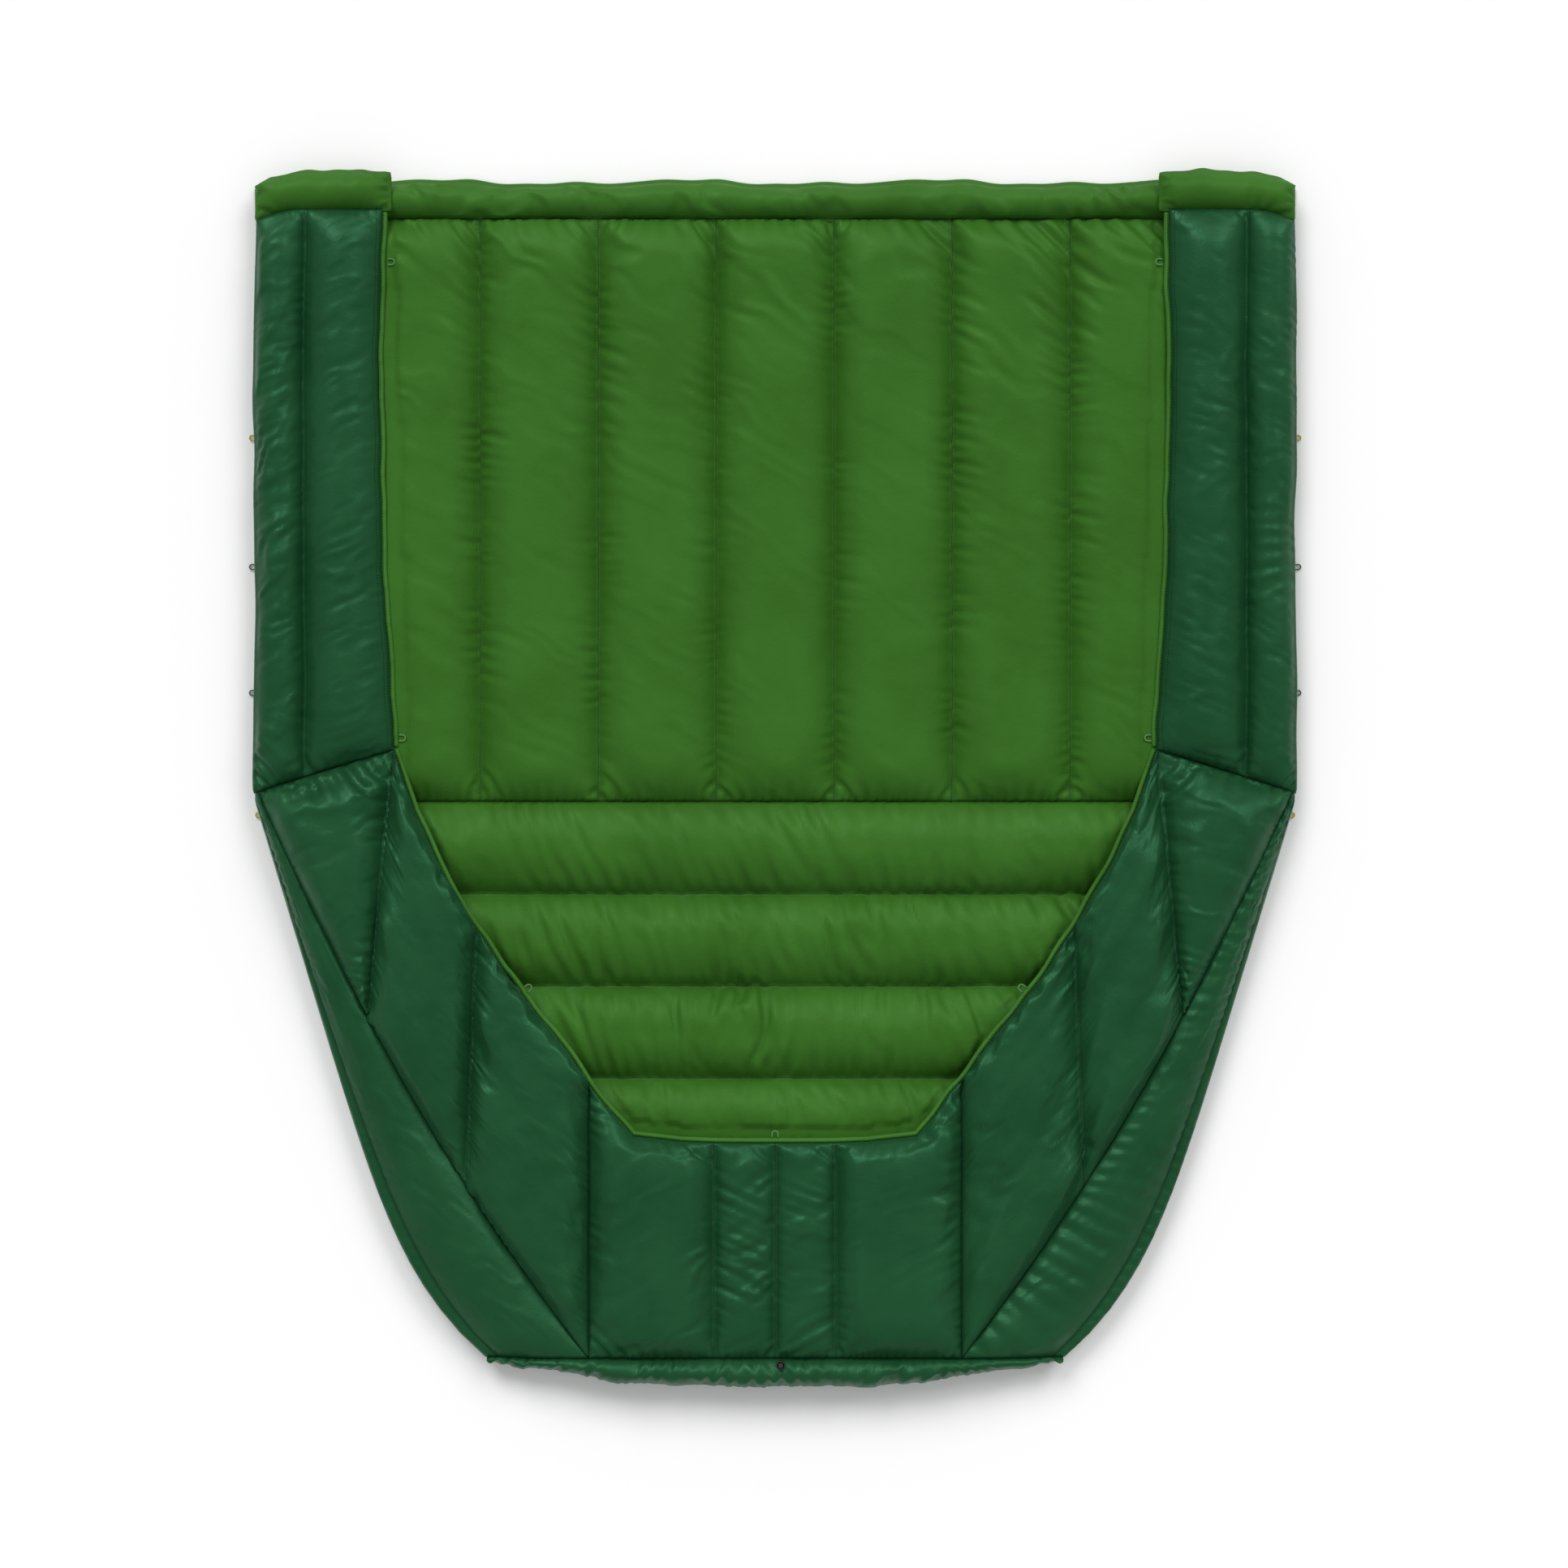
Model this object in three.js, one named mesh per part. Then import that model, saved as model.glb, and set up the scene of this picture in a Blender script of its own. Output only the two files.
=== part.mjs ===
// A two-person down camp quilt, laid flat. The back layer lies on the floor, both sides of its head half are
// folded over it as flaps, and the foot half is closed by a front layer into a foot box with a V-shaped mouth.
// Millimetres, +Z up, +Y towards the head. The origin is on the floor, in the middle of the quilt.
// Each down chamber is one closed cushion, pinched at its seams and round at its crown.
import * as THREE from "three";

// Sizes across the quilt, all from the midline.
const shoulderHalf = 837; // back layer at the head and the shoulders
const footHalf = 464; // back layer at the foot seam
const flapEdgeHalf = 632; // inner edge of a folded flap
const flapSeamHalf = 756; // seam between the two chambers of a flap
const chamberPitch = 190; // distance between two long seams
const backChambers = 9;
const frontSeamHalf = [0, 98, 298]; // straight long seams of the front layer
const kneeSeamHalf = { top: 478, bottom: 494 };
const hipSeamHalf = { top: 612, bottom: 652 };

// Sizes along the quilt.
const hipSeamY = -36; // where the long back chambers meet the leg chambers
const bodyLength = 939; // from the hip seam to the head seam
const legLength = 890; // from the hip seam to the foot seam
const legChambers = 6;
const legTaper = { start: 16, even: 0.74, late: 0.26, power: 8 }; // it draws in evenly, then fast at the foot
const footTubeDepth = 49;
const footEdgeRise = 37; // how much shallower the foot tube is at its two ends
const draftTubeWidth = 56;
const flapHeadRise = 12; // how far the head seam of a flap lies past the head seam of the back layer
const headBandWidth = 60;
const mouthCornerY = 47; // inner end of the seam between flap and front layer
const mouthCornerDrop = 67; // how far that seam falls on its way out to the side
const mouthDepth = 629; // from the mouth's corner to the bottom of the V
const mouthBottomHalf = 230; // where the V turns into its flat bottom
const mouthBottomRise = 15;
const mouthCurve = 1.35; // above 1 the V is steeper at its bottom than at its corners
const mouthEndInset = 9;

// Loft, from the floor up.
const seamLoft = 6;
const backLoft = 34;
const flapLoft = 28;
const frontLoft = 28;
const pocketGap = 22; // free height of the foot box
const pocketRise = { from: 20, to: 200 }; // where the front layer climbs to that height, below the mouth's corner
const edgeFullness = 0.85; // loft of a chamber at an outer edge, where the cloth folds round
const footTubeLoft = 76;
const footTubeFall = { end: 0.35, edge: 0.4, taper: 0.02 }; // shares of loft and width lost at its ends and edge
const gussetPuff = 10;

// How far the edge of one piece lies inside or past the edge of its neighbour.
const draftTubeInset = 5;
const headBandInset = { inner: 12, outer: 7 };
const gussetInset = 7;
const gussetTopDrop = 24;
const flapBindingInset = 6;

// Trim.
const clearance = 0.3;
const bindingWidth = 8;
const bindingHeight = 4;
const loopSideY = [550, 342, 139, -58];
const loopCord = { radius: 1.15, halfWidth: 5, reach: 11 };
const tabTape = { radius: 1.4, halfWidth: 6.2, reach: 12 };
const tabOnFlapY = [830, 66];
const tabOnMouth = 0.54; // share of the V's length from its corner
const sideLoopRise = 2;
const lock = { outer: 7, height: 12, wall: 1.6, floor: 2, bevel: 1.2, across: 9, belowSeam: 8 };
const plunger = { radius: 4, skirt: 3.2, stand: 4, bevel: 1 };
const springWire = 0.4;
const springTurns = 3;

const flapBase = backLoft + clearance;
const headSeamY = hipSeamY + bodyLength;
const footSeamY = hipSeamY - legLength;
const flapHeadY = headSeamY + flapHeadRise;

const cloth = (color, roughness) => () => new THREE.MeshStandardMaterial({ color, roughness, metalness: 0 });
const liner = cloth(0x3e702a, 0.62);
const shell = cloth(0x245030, 0.5);
const binding = cloth(0x4a7a3a, 0.6);
const yellowCord = cloth(0xb9a52c, 0.7);
const greenCord = cloth(0x3c5245, 0.7);
const lockPlastic = cloth(0x1b1a19, 0.45);
const springSteel = () => new THREE.MeshStandardMaterial({ color: 0xb8babb, roughness: 0.3, metalness: 1 });

const quilt = new THREE.Group();
quilt.name = "camp_quilt";

function add(name, geometry, material) {
  const mesh = new THREE.Mesh(geometry, material());
  mesh.name = name;
  quilt.add(mesh);
  return mesh;
}

const mix = (a, b, t) => a + (b - a) * t;
const clamp01 = (t) => Math.min(1, Math.max(0, t));
const pinched = (t) => 4 * t * (1 - t); // 0 at both seams, 1 at the crown
const softEnds = (t) => 1 - Math.pow(2 * t - 1, 4);

// Outline of the back layer: straight beside the body, drawn in along the legs, rounded at the foot.
function outlineX(y) {
  const down = clamp01((hipSeamY + legTaper.start - y) / (legLength + legTaper.start));
  const drawnIn = legTaper.even * down + legTaper.late * Math.pow(down, legTaper.power);
  return mix(shoulderHalf, footHalf, drawnIn);
}
const footEdgeY = (x) => footSeamY - footTubeDepth + footEdgeRise * Math.pow(x / footHalf, 2);

// The mouth of the foot box, for x from the midline outwards.
function mouthY(x) {
  const bottomY = mouthCornerY - mouthDepth;
  if (x < mouthBottomHalf) return bottomY + mouthBottomRise * Math.pow(x / mouthBottomHalf, 4);
  if (x > hipSeamHalf.top) {
    const out = (x - hipSeamHalf.top) / (shoulderHalf - mouthEndInset - hipSeamHalf.top);
    return mouthCornerY - mouthCornerDrop * out;
  }
  const up = (hipSeamHalf.top - x) / (hipSeamHalf.top - mouthBottomHalf);
  return mouthCornerY - (mouthDepth - mouthBottomRise) * Math.pow(up, 1 / mouthCurve);
}

// The slanting seam from the hip to the foot that joins the front layer to the side gusset.
const gussetFootX = frontSeamHalf[2];
const gussetTopX = shoulderHalf - gussetInset;
const gussetTopY = mouthCornerY - mouthCornerDrop;
const gussetBow = 0.068; // the seam bows towards the foot by this share of its length
function gussetSeamY(x) {
  const down = clamp01((gussetTopX - x) / (gussetTopX - gussetFootX));
  return gussetTopY - (gussetTopY - footSeamY) * (down + gussetBow * Math.sin(Math.PI * down));
}
function gussetSeamX(y) {
  let [low, high] = [gussetFootX, gussetTopX];
  for (let step = 0; step < 30; step++) {
    const middle = (low + high) / 2;
    if (gussetSeamY(middle) < y) low = middle;
    else high = middle;
  }
  return (low + high) / 2;
}

// Underside of the front layer: it leaves the back layer at the hip and lies over the feet.
const climbed = (y) => THREE.MathUtils.smoothstep(mouthCornerY - y, pocketRise.from, pocketRise.to);
const frontBase = (y) => flapBase + pocketGap * climbed(y);

// A closed cushion on a grid of across by along patches. place(u, v) gives [x, y, bottom, top].
function cushion(across, along, place) {
  const points = [];
  for (const level of [2, 3]) {
    for (let j = 0; j <= along; j++) {
      for (let i = 0; i <= across; i++) {
        const p = place(i / across, j / along);
        points.push(p[0], p[1], p[level]);
      }
    }
  }
  const layer = (across + 1) * (along + 1);
  const at = (i, j, top) => j * (across + 1) + i + (top ? layer : 0);
  const faces = [];
  const quad = (a, b, c, d) => faces.push(a, b, c, a, c, d);
  for (let j = 0; j < along; j++) {
    for (let i = 0; i < across; i++) {
      quad(at(i, j, 1), at(i + 1, j, 1), at(i + 1, j + 1, 1), at(i, j + 1, 1));
      quad(at(i, j, 0), at(i, j + 1, 0), at(i + 1, j + 1, 0), at(i + 1, j, 0));
    }
  }
  for (let i = 0; i < across; i++) {
    quad(at(i, 0, 0), at(i + 1, 0, 0), at(i + 1, 0, 1), at(i, 0, 1));
    quad(at(i + 1, along, 0), at(i, along, 0), at(i, along, 1), at(i + 1, along, 1));
  }
  for (let j = 0; j < along; j++) {
    quad(at(0, j + 1, 0), at(0, j, 0), at(0, j, 1), at(0, j + 1, 1));
    quad(at(across, j, 0), at(across, j + 1, 0), at(across, j + 1, 1), at(across, j, 1));
  }
  const [x0, y0] = place(0, 0);
  const [x1, y1] = place(1, 0);
  const [x2, y2] = place(0, 1);
  if ((x1 - x0) * (y2 - y0) - (y1 - y0) * (x2 - x0) < 0) faces.reverse();
  const geometry = new THREE.BufferGeometry();
  geometry.setAttribute("position", new THREE.Float32BufferAttribute(points, 3));
  geometry.setIndex(faces);
  return geometry;
}

// --- back layer -----------------------------------------------------------------------------------------
for (let n = 0; n < backChambers; n++) {
  const offset = n - (backChambers - 1) / 2;
  const outermost = Math.abs(offset) === (backChambers - 1) / 2;
  let from = (offset - 0.5) * chamberPitch + clearance;
  let to = (offset + 0.5) * chamberPitch - clearance;
  if (outermost && offset < 0) from = -shoulderHalf;
  if (outermost && offset > 0) to = shoulderHalf;
  const geometry = cushion(4, 4, (u, v) => {
    const y = mix(hipSeamY + clearance, headSeamY - clearance, v);
    const outwards = offset < 0 ? 1 - u : u;
    const folded = outermost && outwards > 0.5;
    const round = folded ? mix(1, edgeFullness, 2 * outwards - 1) : pinched(u);
    return [mix(from, to, u), y, 0, seamLoft + (backLoft - seamLoft) * round * softEnds(v)];
  });
  add("back_chamber_" + (n + 1), geometry, liner);
}

for (let n = 0; n < legChambers; n++) {
  const high = hipSeamY - (n * legLength) / legChambers - clearance;
  const low = hipSeamY - ((n + 1) * legLength) / legChambers + clearance;
  const geometry = cushion(6, 4, (u, v) => {
    const y = mix(low, high, v);
    const across = 2 * u - 1;
    const round = Math.abs(across) > 0.99 ? edgeFullness : 1;
    return [across * outlineX(y), y, 0, seamLoft + (backLoft - seamLoft) * pinched(v) * round];
  });
  add("leg_chamber_" + (n + 1), geometry, liner);
}

const draftTube = cushion(12, 4, (u, v) => {
  const x = mix(-1, 1, u) * (shoulderHalf - draftTubeInset);
  const y = mix(headSeamY + clearance, headSeamY + draftTubeWidth, v);
  return [x, y, 0, seamLoft + (backLoft - seamLoft) * pinched(v)];
});
add("head_draft_tube", draftTube, liner);

// --- flaps: the quilt's two sides, folded over the back layer -------------------------------------------
const sides = [["left", -1], ["right", 1]];
const flapEdgeX = (y) => mix(hipSeamHalf.top, flapEdgeHalf, (y - mouthCornerY) / (flapHeadY - mouthCornerY));

for (const [sideName, side] of sides) {
  const flapChamber = (innerX, outerX, outerFolded) => cushion(4, 6, (u, v) => {
    const start = mix(innerX(mouthCornerY), outerX, u);
    const y = mix(mouthY(start) + 2 * clearance, flapHeadY - clearance, v);
    const x = mix(innerX(y), outerX, u);
    const folded = outerFolded && u > 0.5;
    const round = folded ? mix(1, edgeFullness, 2 * u - 1) : pinched(u);
    return [side * x, y, flapBase, flapBase + seamLoft + (flapLoft - seamLoft) * round * softEnds(v)];
  });
  add(sideName + "_flap_inner_chamber", flapChamber(flapEdgeX, flapSeamHalf - clearance, false), shell);
  add(sideName + "_flap_outer_chamber", flapChamber(() => flapSeamHalf + clearance, shoulderHalf, true), shell);

  const band = cushion(6, 4, (u, v) => {
    const x = mix(flapEdgeHalf - headBandInset.inner, shoulderHalf - headBandInset.outer, u);
    const y = mix(flapHeadY + clearance, flapHeadY + headBandWidth, v);
    return [side * x, y, flapBase, flapBase + seamLoft + (flapLoft - seamLoft) * pinched(v)];
  });
  add(sideName + "_flap_head_band", band, liner);

  const edge = cushion(1, 8, (u, v) => {
    const y = mix(mouthCornerY + flapBindingInset, flapHeadY - flapBindingInset, v);
    const x = flapEdgeX(y) - clearance - u * bindingWidth;
    return [side * x, y, flapBase, flapBase + bindingHeight];
  });
  add(sideName + "_flap_binding", edge, binding);
}

// --- front layer of the foot box ------------------------------------------------------------------------
const straight = (x) => () => x;
const slanted = (seam) => (v) => mix(seam.top, seam.bottom, v);
const frontSeams = [...frontSeamHalf.map(straight), slanted(kneeSeamHalf), slanted(hipSeamHalf)];
const frontBottomY = (x) => (x < gussetFootX ? footSeamY : gussetSeamY(x));
const frontTop = (y, round) => frontBase(y) + seamLoft + (frontLoft - seamLoft) * round;
const slopeGap = 2 * clearance; // clearance measured along a seam that runs at a slant
const hipPoint = 8; // width of the hip chamber's lower point

for (const [sideName, side] of sides) {
  const panelNames = ["middle", "shin", "knee", "thigh"];
  panelNames.forEach((panelName, n) => {
    const geometry = cushion(4, 6, (u, v) => {
      const inner = frontSeams[n](v) + clearance;
      const outer = frontSeams[n + 1](v) - clearance;
      const topY = mouthY(mix(frontSeams[n](0), frontSeams[n + 1](0), u)) - slopeGap;
      const bottomY = frontBottomY(mix(frontSeams[n](1), frontSeams[n + 1](1), u)) + slopeGap;
      const y = mix(topY, bottomY, v);
      return [side * mix(inner, outer, u), y, frontBase(y), frontTop(y, pinched(u) * softEnds(v))];
    });
    add(sideName + "_front_" + panelName, geometry, shell);
  });

  // The hip chamber runs out to a point between the hip seam and the gusset seam.
  const hip = cushion(4, 6, (u, v) => {
    const innerX = mix(hipSeamHalf.top, hipSeamHalf.bottom, v) + clearance;
    const innerY = mix(mouthCornerY - slopeGap, gussetSeamY(hipSeamHalf.bottom) + 4 * slopeGap, v);
    const outerY = mix(gussetTopY - slopeGap, gussetSeamY(hipSeamHalf.bottom + hipPoint), v);
    const outerX = gussetSeamX(outerY) - slopeGap;
    const y = mix(innerY, outerY, u);
    return [side * mix(innerX, outerX, u), y, frontBase(y), frontTop(y, pinched(u) * softEnds(v))];
  });
  add(sideName + "_front_hip", hip, shell);

  const gusset = cushion(3, 10, (u, v) => {
    const y = mix(gussetTopY - gussetTopDrop, footSeamY + slopeGap, v);
    const inner = gussetSeamX(y) + slopeGap;
    const x = mix(inner, outlineX(y), u);
    const seamTop = frontBase(y) + seamLoft;
    const top = mix(seamTop, flapBase + bindingHeight, u * u) + gussetPuff * pinched(u);
    return [side * x, y, flapBase, Math.max(top, flapBase + bindingHeight)];
  });
  add(sideName + "_side_gusset", gusset, shell);
}

// One binding runs all round the mouth, with a corner wherever the front panels' top edges have one.
const panelColumns = 4;
const mouthStations = [];
for (let n = 0; n < frontSeams.length - 1; n++) {
  for (let i = 0; i < panelColumns; i++) {
    mouthStations.push(mix(frontSeams[n](0), frontSeams[n + 1](0), i / panelColumns));
  }
}
mouthStations.push(hipSeamHalf.top);
const lastStation = mouthStations.length - 1;
const mouthPoint = (k) => {
  const x = mouthStations[Math.min(Math.abs(k), lastStation)] * Math.sign(k);
  return new THREE.Vector2(x, mouthY(Math.abs(x)));
};
const mouthBinding = cushion(2 * lastStation, 1, (u, v) => {
  const k = Math.round(u * 2 * lastStation) - lastStation;
  const along = mouthPoint(k + 1).sub(mouthPoint(k - 1)).normalize();
  const inwards = new THREE.Vector2(-along.y, along.x);
  const edge = mouthPoint(k);
  const point = edge.clone().addScaledVector(inwards, clearance + v * bindingWidth);
  return [point.x, point.y, frontBase(edge.y), frontBase(edge.y) + bindingHeight];
});
add("mouth_binding", mouthBinding, binding);

// The gathered tube across the foot closes the foot box.
const footTube = cushion(12, 4, (u, v) => {
  const across = mix(-1, 1, u);
  const innerX = across * (footHalf - 2);
  const y = mix(footSeamY - clearance, footEdgeY(innerX), v);
  const endFall = 1 - footTubeFall.end * Math.pow(across, 4);
  const edgeFall = 1 - footTubeFall.edge * Math.pow(v, 4);
  return [innerX * (1 - footTubeFall.taper * v), y, 0, footTubeLoft * endFall * edgeFall];
});
add("foot_tube", footTube, shell);

// --- loops ----------------------------------------------------------------------------------------------
// A loop of cord or tape lies flat, with both ends at the cloth edge and its bend pointing along direction.
function loopGeometry(size) {
  const bend = new THREE.CurvePath();
  const legEnd = size.reach - size.halfWidth;
  const side = size.halfWidth - size.radius;
  const leg = (y, outwards) => {
    const ends = [new THREE.Vector3(0, y, 0), new THREE.Vector3(legEnd, y, 0)];
    return new THREE.LineCurve3(...(outwards ? ends : ends.reverse()));
  };
  bend.add(leg(-side, true));
  const quarter = 0.5523 * side;
  for (const turn of [-1, 1]) {
    const corner = new THREE.Vector3(legEnd, turn * side, 0);
    const tip = new THREE.Vector3(legEnd + side, 0, 0);
    const cornerHandle = corner.clone().add(new THREE.Vector3(quarter, 0, 0));
    const tipHandle = tip.clone().add(new THREE.Vector3(0, turn * quarter, 0));
    const controls = [corner, cornerHandle, tipHandle, tip];
    bend.add(new THREE.CubicBezierCurve3(...(turn < 0 ? controls : controls.reverse())));
  }
  bend.add(leg(side, false));
  const section = new THREE.Shape();
  section.absarc(0, 0, size.radius, 0, 2 * Math.PI, false);
  return new THREE.ExtrudeGeometry(section, { curveSegments: 4, steps: 14, extrudePath: bend });
}

function addLoop(name, size, material, x, y, z, direction) {
  const mesh = add(name, loopGeometry(size), material);
  mesh.position.set(x, y, z);
  mesh.rotation.z = direction;
}

const sideLoopZ = loopCord.radius + sideLoopRise;
for (const [sideName, side] of sides) {
  const facing = side > 0 ? 0 : Math.PI;
  loopSideY.forEach((y, n) => {
    const material = n === 0 || n === loopSideY.length - 1 ? yellowCord : greenCord;
    const x = side * (outlineX(y + loopCord.halfWidth) + clearance);
    addLoop(sideName + "_side_loop_" + (n + 1), loopCord, material, x, y, sideLoopZ, facing);
  });
  tabOnFlapY.forEach((y, n) => {
    const x = side * (flapEdgeX(y) - 2 * clearance - bindingWidth);
    const z = flapBase + tabTape.radius + clearance;
    addLoop(sideName + "_flap_tab_" + (n + 1), tabTape, binding, x, y, z, Math.PI - facing);
  });
  const tabX = mix(hipSeamHalf.top, mouthBottomHalf, tabOnMouth);
  const slope = Math.atan2(mouthY(tabX + 1) - mouthY(tabX - 1), 2);
  const out = 2 * clearance + bindingWidth;
  const normal = side > 0 ? Math.PI / 2 + slope : Math.PI / 2 - slope;
  const tabY = mouthY(tabX) + out * Math.cos(slope);
  const tabZ = frontBase(mouthY(tabX)) + tabTape.radius + clearance;
  addLoop(sideName + "_mouth_tab", tabTape, binding, side * (tabX - out * Math.sin(slope)), tabY, tabZ, normal);
}
const bottomTabY = mouthY(0) + 2 * clearance + bindingWidth;
const bottomTabZ = frontBase(mouthY(0)) + tabTape.radius + clearance;
addLoop("mouth_bottom_tab", tabTape, binding, 0, bottomTabY, bottomTabZ, Math.PI / 2);

// --- cord lock on the foot tube: a sleeve, a sprung button and the spring between them -----------------
const lockBase = footTubeLoft + clearance;
const turned = (outline) => {
  const geometry = new THREE.LatheGeometry(outline.map(([r, z]) => new THREE.Vector2(r, z)), 24);
  return geometry.rotateX(Math.PI / 2);
};
const boreRadius = lock.outer - lock.wall;
const sleeve = turned([
  [0, 0],
  [lock.outer - lock.bevel, 0],
  [lock.outer, lock.bevel],
  [lock.outer, lock.height - lock.bevel],
  [lock.outer - lock.bevel, lock.height],
  [boreRadius, lock.height],
  [boreRadius, lock.floor],
  [0, lock.floor],
]);
const seat = new THREE.Group();
seat.position.set(lock.across, footSeamY - lock.belowSeam, lockBase);
quilt.add(seat);
const seatPiece = (name, geometry, material) => seat.add(add(name, geometry, material));
seatPiece("cord_lock_sleeve", sleeve, lockPlastic);

const buttonFoot = lock.height - plunger.skirt;
const buttonTop = lock.height + plunger.stand;
const button = turned([
  [0, buttonFoot],
  [plunger.radius, buttonFoot],
  [plunger.radius, buttonTop - plunger.bevel],
  [plunger.radius - plunger.bevel, buttonTop],
  [0, buttonTop],
]);
seatPiece("cord_lock_button", button, lockPlastic);

class SpringCurve extends THREE.Curve {
  getPoint(t) {
    const low = lock.floor + clearance + springWire;
    const high = buttonFoot - clearance - springWire;
    const angle = 2 * Math.PI * springTurns * t;
    const radius = plunger.radius - plunger.bevel;
    return new THREE.Vector3(radius * Math.cos(angle), radius * Math.sin(angle), mix(low, high, t));
  }
}
const wire = new THREE.Shape();
wire.absarc(0, 0, springWire, 0, 2 * Math.PI, false);
const springPath = { curveSegments: 3, steps: 14 * springTurns, extrudePath: new SpringCurve() };
seatPiece("cord_lock_spring", new THREE.ExtrudeGeometry(wire, springPath), springSteel);

export default quilt;
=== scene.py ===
# %% [markdown]
# # A two-person down camp quilt
# The quilt lies flat on the floor. Its light green liner faces up. Both sides of its head half are folded
# over, so that the dark green shell shows on two long flaps, and a front layer of the same shell closes the
# foot half into a foot box with a V-shaped mouth. This lesson loads the measured frame, sews cloth over it
# chamber by chamber, and then adds the small trim: bindings, stitches, loops, tabs and the cord lock.

# %% Load the frame
import math

import bpy
import numpy as np
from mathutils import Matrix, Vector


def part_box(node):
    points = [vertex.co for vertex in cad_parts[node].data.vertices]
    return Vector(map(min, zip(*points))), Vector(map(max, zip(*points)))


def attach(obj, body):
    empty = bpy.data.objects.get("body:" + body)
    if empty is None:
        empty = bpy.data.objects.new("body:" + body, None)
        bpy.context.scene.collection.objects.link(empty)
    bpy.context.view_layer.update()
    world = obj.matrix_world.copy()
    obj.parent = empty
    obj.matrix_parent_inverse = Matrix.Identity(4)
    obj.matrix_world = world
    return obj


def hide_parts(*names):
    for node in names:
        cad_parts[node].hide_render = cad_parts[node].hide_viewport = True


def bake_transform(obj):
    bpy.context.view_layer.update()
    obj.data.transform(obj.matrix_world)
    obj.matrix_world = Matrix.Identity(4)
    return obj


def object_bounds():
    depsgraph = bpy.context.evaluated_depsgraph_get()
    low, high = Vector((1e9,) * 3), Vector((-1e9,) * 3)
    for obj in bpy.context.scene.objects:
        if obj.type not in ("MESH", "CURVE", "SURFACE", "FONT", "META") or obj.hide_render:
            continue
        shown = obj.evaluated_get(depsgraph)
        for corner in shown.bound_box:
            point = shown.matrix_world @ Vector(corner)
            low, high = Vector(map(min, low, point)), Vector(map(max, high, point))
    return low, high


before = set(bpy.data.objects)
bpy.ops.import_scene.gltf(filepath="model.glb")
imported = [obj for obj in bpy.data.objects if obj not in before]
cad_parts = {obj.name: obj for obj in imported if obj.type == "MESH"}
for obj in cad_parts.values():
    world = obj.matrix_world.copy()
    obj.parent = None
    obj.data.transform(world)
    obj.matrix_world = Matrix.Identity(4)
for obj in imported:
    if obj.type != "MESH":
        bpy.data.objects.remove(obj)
cad_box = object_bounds()
print("frame box", [tuple(round(c, 4) for c in corner) for corner in cad_box])

# %% [markdown]
# ## Camera
# A product like this is shown from straight above with a long lens, so that its outline isn't distorted.
# The lens is 100 mm on a 36 mm sensor, and the height follows from how much floor the picture has to cover.

# %% Camera
VIEW_WIDTH = 2.512  # metres of floor across the picture
VIEW_CENTRE = (0.0143, -0.0078)
LENS_MM, SENSOR_MM = 100, 36

camera_data = bpy.data.cameras.new("camera")
camera_data.lens, camera_data.sensor_width = LENS_MM, SENSOR_MM
camera = bpy.data.objects.new("camera", camera_data)
bpy.context.scene.collection.objects.link(camera)
camera.location = (*VIEW_CENTRE, (cad_box[0].z + cad_box[1].z) / 2 + VIEW_WIDTH * LENS_MM / SENSOR_MM)
bpy.context.scene.camera = camera
bpy.context.scene.view_settings.view_transform = "Standard"
print("camera height", round(camera.location.z, 3))

# %% [markdown]
# ## Measures taken from the frame
# Every seam and edge is read from the frame's own solids: the seams between two chambers, the outline of
# the back layer, the edge of the mouth and the slanting seams at the sides. The cloth then fits the frame,
# whatever its size. Along a monotonic edge, the vertices that beat every earlier one are the ones on the
# edge.

# %% Seams, outline and levels
SIDES = {"left": -1, "right": 1}


def box_of(name):
    return [np.array(corner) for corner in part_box(name)]


def corners_of(*names):
    clouds = []
    for name in names:
        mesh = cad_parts[name].data
        points = np.empty(len(mesh.vertices) * 3)
        mesh.vertices.foreach_get("co", points)
        clouds.append(points.reshape(-1, 3))
    return np.concatenate(clouds)


def between(a, b):
    return (a + b) / 2


def rising_edge(points, order, value):
    """The points with a higher value than all those before them, as two sorted columns."""
    points = points[np.argsort(points[:, order], kind="stable")]
    best = np.maximum.accumulate(points[:, value])
    keep = np.r_[True, points[1:, value] > best[:-1] + 1e-6]
    return points[keep][:, order], points[keep][:, value]


BACK = ["back_chamber_%d" % n for n in range(1, 10)]
LEGS = ["leg_chamber_%d" % n for n in range(1, 7)]
FRONT = ["front_middle", "front_shin", "front_knee", "front_thigh"]
back_boxes = [box_of(name) for name in BACK]
leg_boxes = [box_of(name) for name in LEGS]
shoulder = back_boxes[-1][1][0]
back_seams = [between(a[1][0], b[0][0]) for a, b in zip(back_boxes, back_boxes[1:])]
hip_y = between(back_boxes[0][0][1], leg_boxes[0][1][1])
leg_seams = [between(a[0][1], b[1][1]) for a, b in zip(leg_boxes, leg_boxes[1:])]
foot_seam_y = leg_boxes[-1][0][1]
draft_lo, draft_hi = box_of("head_draft_tube")
head_seam_y = between(back_boxes[0][1][1], draft_lo[1])
flap_lo, flap_hi = box_of("right_flap_inner_chamber")
flap_base = flap_lo[2]
flap_seam_x = between(flap_hi[0], box_of("right_flap_outer_chamber")[0][0])
flap_head_y = flap_hi[1]
band_lo, band_hi = box_of("right_flap_head_band")
flap_points = corners_of("right_flap_inner_chamber")
flap_head_x = flap_points[flap_points[:, 1] > flap_head_y - 1e-4][:, 0].min()
binding_lo, binding_hi = box_of("right_flap_binding")
tube_lo, tube_hi = box_of("foot_tube")

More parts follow.
